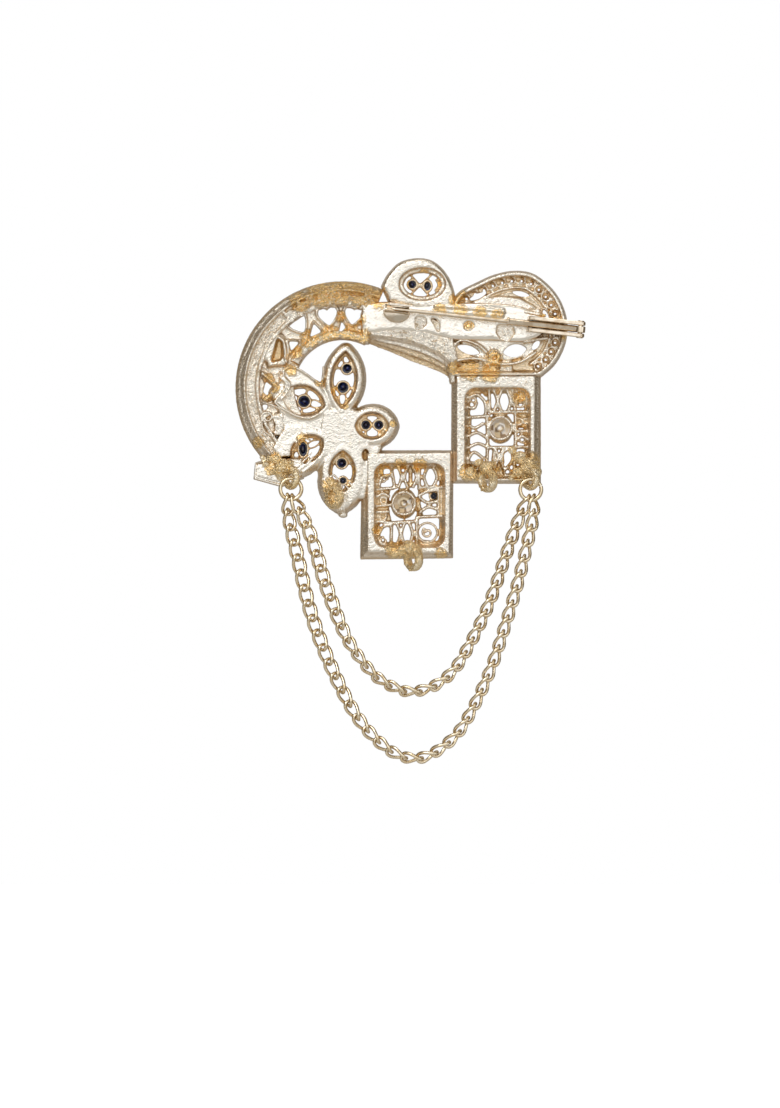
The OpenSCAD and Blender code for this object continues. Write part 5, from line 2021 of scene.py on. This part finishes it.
@dataclass
class Tile:
    """A square tile: four sloping walls round an openwork of blades, scrolls and bars.

    Attributes:
        name: name of its casting.
        outline: corners on the drawing.
        face: corners of its back face on the drawing.
        opening: low and high corners of its opening on the drawing.
        crystal: middle of its clear stone on the drawing.
        bars: straight bars on the drawing.
        arcs: curved blades, each by three places on the drawing.
        scrolls: eye on the drawing, radius, start angle and turns.
        rings: middle on the drawing and radius.
        stones: middles of its small dark stones on the drawing.
        floors: corners of each closed part of its openwork on the drawing.
        crystal_hole: width of the hole behind its clear stone.
    """

    name: str
    outline: list[Point]
    face: list[Point]
    opening: tuple[Point, Point]
    crystal: Point
    bars: list[tuple[Point, Point]]
    arcs: list[tuple[Point, Point, Point]]
    scrolls: list[tuple[Point, float, float, float]]
    rings: list[tuple[Point, float]]
    stones: list[Point] = field(default_factory=list)
    floors: list[list[Point]] = field(default_factory=list)
    crystal_hole: float = 3.4

    def walls(self) -> list[Piece]:
        """Make the block, whose walls slope out from its back face in two steps.

        Returns:
            The solids, one for each step.
        """
        outer, face = spots(*self.outline), spots(*self.face)
        made = []
        steps = [(BACK, 0.0), (BACK + 1.1, 0.42), (BACK + 1.2, 0.62), (BACK + 2.3, 1.0), (FRONT, 1.0)]
        for (y0, s0), (y1, s1) in zip(steps, steps[1:]):
            made.append(frustum(between(face, outer, s0), between(face, outer, s1), y0, y1 + 0.02))
        return made

    def build(self) -> None:
        """Cast the tile."""
        low, high = spot(*self.opening[0]), spot(*self.opening[1])
        hole = box_outline((low[0], high[1]), (high[0], low[1]), 1.7)
        cast = Casting(self.name)
        cast.add(*self.walls())
        cast.cut(loft(hole, [(RELIEF, 0.55), (FLOOR + 0.2, 0.5), (FLOOR - 0.3, 0.2), (BACK + 0.2, -0.3),
                             (BACK - 0.5, -0.6)]))
        y, deep = FLOOR + 0.1, 2.9
        bits = [wire(inset(hole, 0.4), FLOOR + 0.5, 0.32, 1.9, closed=True)]
        bits += [plate(spots(*floor), y - 0.1, FRONT, 0.15, 0.2) for floor in self.floors]
        bits += [wire(spots(a, b), y, 0.35, deep) for a, b in self.bars]
        bits += [wire(smooth_line(spots(*arc), 6), y - 0.2, 0.33, deep) for arc in self.arcs]
        for eye, radius, start, turns in self.scrolls:
            bits.append(wire(spiral(spot(*eye), radius, start, turns), y - 0.1, 0.22, deep))
        for middle, radius in self.rings:
            bits.append(wire(oval(spot(*middle), 2 * radius, 2 * radius, 20), y, 0.23, deep, closed=True))
        seat = self.crystal_hole + 0.6
        bits.append(wire(oval(spot(*self.crystal), seat, seat, 32), y - 0.25, 0.34, 2.3, closed=True))
        bits.append(plate(oval(spot(*self.crystal), seat + 0.9, seat + 1.7, 32), FLOOR - 0.25, FRONT, 0.2, 0.15))
        prongs = [polar(spot(*self.crystal), seat / 2 + 0.05, a) for a in (20, 75, 130, 185, 240, 310)]
        bits += [ball((x, FLOOR - 0.75, z), 0.34, 1.2) for x, z in prongs]
        bits += [wire(oval(spot(px, py), 1.45, 1.45, 16), y + 0.1, 0.22, 2.2, closed=True) for px, py in self.stones]
        cast.add(*bits)
        cast.cut(loft(oval(spot(*self.crystal), self.crystal_hole, self.crystal_hole, 32),
                      [(RELIEF + 0.3, 0.0), (BACK, 0.0)]),
                 *[loft(oval(spot(px, py), 1.0, 1.0, 16), [(RELIEF + 0.3, 0.0), (BACK, 0.0)])
                   for px, py in self.stones])
        cast.finish(OPEN_CAST, soften=2, rough=0.035)


def frustum(near: Sequence[Point], far: Sequence[Point], y0: float, y1: float) -> Piece:
    """Make a solid between an outline at one level and another with as many corners at a second level.

    Args:
        near: outline at the first level.
        far: outline at the second level.
        y0: the first level.
        y1: the second level.

    Returns:
        The solid.
    """
    block = loft(near, [(y1, 0.0), (y0, 0.0)])
    places = {(round(p[0], 4), round(p[1], 4)): q for p, q in zip(near, far)}
    for vertex in block.data.vertices:
        if abs(vertex.co.y - y1) < 1e-4:
            vertex.co.x, vertex.co.z = places[(round(vertex.co.x, 4), round(vertex.co.z, 4))]
    return block


RIGHT_TILE = Tile(
    "right_tile_casting", [(451.5, 375.5), (541.0, 375.5), (541.2, 484.0), (451.0, 483.5)],
    [(456.8, 376.5), (534.5, 376.0), (533.5, 480.8), (456.8, 480.5)], ((466.5, 389.5), (528.5, 477.0)), (500.4, 428.1),
    bars=[((467, 417.5), (490, 416.0)), ((487, 418), (488, 446)), ((489, 390), (490, 412)),
          ((490, 412.5), (529, 411.5)), ((515.5, 411), (515.5, 447)), ((490, 447.5), (529, 447)),
          ((487.5, 447), (487, 462)), ((494.5, 448), (493, 461)), ((515, 431), (529, 431)), ((467, 463), (487, 463)),
          ((515, 447), (514.5, 477)), ((487, 462), (486, 477))],
    arcs=[((468, 398), (477, 394.5), (484.5, 401)), ((484.5, 401), (486, 408), (485.5, 416)),
          ((468, 407), (474, 408), (477, 402)), ((468, 436.5), (477, 432.5), (487, 438)),
          ((468, 448), (478, 443.5), (489, 448)), ((493.5, 390), (497.3, 401), (493.5, 412)),
          ((502, 390), (498.3, 401), (502, 412)), ((507, 390), (510.5, 401), (508, 411)),
          ((512.5, 390), (513.5, 401), (515.5, 412)), ((494.5, 448), (498, 457), (494.5, 468)),
          ((503.5, 448), (500, 457), (503.5, 468)), ((503, 463), (503, 453), (511, 448)),
          ((511, 448), (512.5, 460), (504, 471)), ((468, 460), (474, 452), (484, 459)),
          ((517, 440), (522, 436), (528, 440)), ((469, 425), (475, 428), (484, 423))],
    scrolls=[((474, 401), 0.75, 200, -1.0), ((522.5, 457), 1.2, 160, 1.3), ((523, 439), 0.9, 90, 1.1),
             ((476, 469), 0.9, 20, 1.1)],
    rings=[((520.5, 396.5), 1.05), ((520.5, 402.5), 0.8), ((519, 421.5), 0.6), ((525.5, 421), 0.45),
           ((507.5, 472), 0.6), ((522.5, 470), 0.9)],
    floors=[[(515, 388), (530, 388), (530, 404), (515, 404)], [(516, 414), (530, 414), (530, 428), (516, 428)],
            [(465, 417), (472, 417), (472, 432), (465, 432)], [(464, 463), (487, 463), (487, 478), (464, 478)],
            [(481, 388), (490, 388), (490, 398), (484, 396)], [(494, 461), (503, 462), (504, 478), (488, 478)]])

MIDDLE_TILE = Tile(
    "middle_tile_casting", [(361.8, 450.0), (453.6, 450.0), (453.2, 558.4), (360.0, 559.6)],
    [(367.8, 453.6), (450.5, 453.0), (448.8, 553.0), (368.0, 551.5)], ((376.0, 465.0), (443.0, 546.0)), (403.8, 503.3),
    bars=[((377, 489.5), (394, 488.0)), ((391, 466), (395, 489)), ((419.5, 468), (419, 490)),
          ((419, 487.5), (442, 487)), ((419, 517), (442, 516)), ((377, 521.5), (396, 523)), ((396, 522.5), (419, 521)),
          ((391.5, 523), (391, 546)), ((417, 516), (416.5, 546)), ((377, 506), (390, 505)),
          ((438.5, 488), (438.5, 517)), ((377, 512), (390, 511.5))],
    arcs=[((379, 486), (382, 477), (391, 475)), ((398, 466), (401.5, 477), (398, 488)),
          ((408, 466), (404.5, 477), (408, 488)), ((412.5, 466), (416.5, 477), (412.5, 488)),
          ((428, 467), (424, 477), (428, 488)), ((418, 496), (427, 491.5), (437, 490)),
          ((419, 497), (427, 502.5), (438, 501)), ((419, 513), (428, 507), (438, 509.5)),
          ((396.5, 523), (400.3, 534), (396.5, 546)), ((405, 522), (401.5, 534), (405, 546)),
          ((409, 522), (412.5, 534), (409, 546)), ((378, 536), (383, 527), (391, 525)),
          ((433, 467), (437, 477), (433, 487)), ((377, 497), (383, 493.5), (390, 497))],
    scrolls=[((427.5, 532.5), 1.0, 120, 1.2), ((384, 480), 0.7, 0, 1.0), ((384, 541), 0.8, 90, 1.0)],
    rings=[((427.5, 532.5), 1.75), ((383, 516.5), 0.6), ((383.5, 500.5), 0.55)], stones=[(433.7, 495.9)],
    floors=[[(375, 489), (391, 489), (389.5, 497), (389.5, 510), (392, 521), (375, 521)],
            [(375, 464), (384, 464), (384, 475), (375, 478)],
            [(418, 488), (424, 488), (421, 503), (424, 517), (416, 518)],
            [(408, 465), (413, 465), (413, 488), (408, 488)], [(436, 503), (444, 503), (444, 520), (436, 518)],
            [(420, 539), (440, 541), (440, 547), (418, 547)]])


@dataclass
class CharmLoop:
    """A short loop soldered to a lower edge, turned so that its grainy end shows, among lumps of solder.

    Attributes:
        at: X and Z of its bore in millimetres.
        lumps: place on the drawing, level over the back faces and radius of each lump.
        half: half the width of its band.
        turn: how far its bore is turned from X towards Y in degrees.
        middle: radius of the middle of its band.
    """

    at: Point
    lumps: list[tuple[float, float, float, float]]
    half: float = 0.5
    turn: float = 37.0
    middle: float = 1.68

    def pieces(self, seed: int) -> list[Piece]:
        """Make the loop, its lumps and their grains.

        Args:
            seed: seed of the grains.

        Returns:
            The solids.
        """
        clear_selection()
        bpy.ops.mesh.primitive_torus_add(major_segments=40, minor_segments=16, major_radius=self.middle,
                                         minor_radius=0.54)
        band = bpy.context.object
        for vertex in band.data.vertices:
            vertex.co.z = max(-1.0, min(1.0, vertex.co.z * 2.8)) * self.half
        turn = Matrix.Rotation(math.radians(self.turn), 4, "Z") @ Matrix.Rotation(math.radians(90), 4, "Y")
        spin = Matrix.Translation((self.at[0], BACK - 1.0, self.at[1])) @ turn
        band.data.transform(spin)
        made = [band]
        chance = random.Random(seed)
        dots: list[Place] = []
        for _ in range(150):
            a, r = chance.uniform(0, 2 * math.pi), self.middle + chance.uniform(-0.42, 0.42)
            dots.append(tuple(spin @ Vector((r * math.cos(a), r * math.sin(a),
                                             0.03 - self.half + chance.uniform(-0.06, 0.08)))))
        for px, py, rise, radius in self.lumps:
            x, z = spot(px, py)
            made.append(ball((x, BACK - rise, z), radius, 0.8))
            for _ in range(int(16 * radius)):
                a, b = chance.uniform(0, 2 * math.pi), chance.uniform(0.1, 1.35)
                dots.append((x + radius * math.sin(b) * math.cos(a), BACK - rise - 0.8 * radius * math.cos(b),
                             z + radius * math.sin(b) * math.sin(a)))
        made.append(grains(dots, 0.19, seed))
        return made


CHARM_LOOPS = {
    "left": CharmLoop((-34.8971, -28.4061), [(283, 466, 0.6, 1.4), (277, 460, 0.2, 0.95), (290, 464, 0.3, 0.8),
                                             (277, 471, 0.2, 0.9), (281, 477, 0.2, 0.85), (270, 459, 0.0, 0.7),
                                             (266, 464, -0.1, 0.7), (272, 472, 0.0, 0.6), (263, 458, -0.2, 0.55)]),
    "petal": CharmLoop((-27.1034, -31.8838), [(331, 482, 0.1, 0.75), (338, 485, 0.0, 0.65), (327, 489, 0.0, 0.5)], 0.7),
    "middle": CharmLoop((-12.851, -43.0272), [(410, 547.5, 0.6, 1.25), (402, 551, 0.2, 1.05), (395, 554.5, 0.0, 0.8),
                                              (417, 548.5, 0.2, 0.8), (407, 543.5, -0.3, 0.7), (389, 549, -0.3, 0.6)],
                        0.7),
    "right_inner": CharmLoop((0.514011, -28.9068), [(486, 468, 0.7, 1.35), (479, 463, -0.4, 0.8), (492, 465, 0.0, 0.8),
                                                    (470, 472, -0.2, 1.0), (475, 477, 0.1, 0.8), (466, 478, -0.1, 0.7)],
                             0.7),
    "right_outer": CharmLoop((8.17661, -28.5288), [(528.5, 466, 0.7, 1.6), (520, 458, -0.2, 1.3), (512, 450, -0.7, 0.8),
                                                   (536, 472, 0.4, 1.1), (518, 472, 0.1, 1.0), (511, 478, 0.0, 0.6)]),
}

STONES = [
    Stone("stone_petal_left", spot(304.2, 401.2), 1.9), Stone("stone_petal_upper_high", spot(347.1, 367.6), 1.5),
    Stone("stone_petal_upper_low", spot(342.9, 386.5), 1.7), Stone("stone_petal_right_near", spot(366.0, 424.7), 1.4),
    Stone("stone_petal_right_far", spot(378.9, 424.7), 1.4), Stone("stone_petal_lower_high", spot(342.0, 463.0), 1.5),
    Stone("stone_petal_lower_low", spot(342.9, 480.5), 1.0), Stone("stone_petal_corner", spot(302.8, 448.7), 1.3, 1.7),
    Stone("stone_top_left", spot(411.9, 284.2), 1.25), Stone("stone_top_right", spot(426.8, 284.9), 1.05, 1.35),
    Stone("stone_tile", spot(433.7, 495.9), 1.0), Stone("crystal_tile_middle", spot(403.8, 503.3), 3.4, clear=True,
                                                        sides=16),
    Stone("crystal_tile_right", spot(500.4, 428.1), 3.4, clear=True, sides=16)]


def make_stones() -> None:
    """Cut and set the stones."""
    for stone in STONES:
        stone.build()


def make_castings() -> None:
    """Cast the brooch, piece by piece."""
    crescent = Crescent()
    crescent.build_rim()
    crescent.build_gallery()
    CornerPlate().build()
    Flower().build()
    TopPetal().build()
    Ribbon().build()
    Leaf().build()
    Loop().build()
    RIGHT_TILE.build()
    MIDDLE_TILE.build()
    loops = Casting("charm_loops_casting", 0.12)
    pieces = [piece for i, loop in enumerate(CHARM_LOOPS.values()) for piece in loop.pieces(60 + i)]
    loops.add(*pieces).finish(SOLDER, soften=1)


# --- making ---


def make_chains() -> None:
    """Hang the jump rings and both chains."""
    JumpRing("ring_left_wire", "jump_ring_left", RING_LEFT, 60.0).build()
    JumpRing("ring_right_wire", "jump_ring_right", RING_RIGHT, 20.0).build()
    Chain("outer_chain_links", "chain_outer", OUTER_TABLE, OUTER_ROLL, 46.6, 1).build()
    Chain("inner_chain_links", "chain_inner", INNER_TABLE, INNER_ROLL, 34.4, -1).build()


def make_pin() -> None:
    """Make the pin, its hinge and its catch."""
    work = PinWork()
    work.build_pin()
    work.build_hinge()
    work.build_catch()


def main() -> None:
    """Build each sub-assembly in order."""
    logging.basicConfig(level=logging.INFO, format="%(message)s")
    set_stage()
    make_chains()
    make_pin()
    make_stones()
    make_castings()


if __name__ == "__main__":
    main()
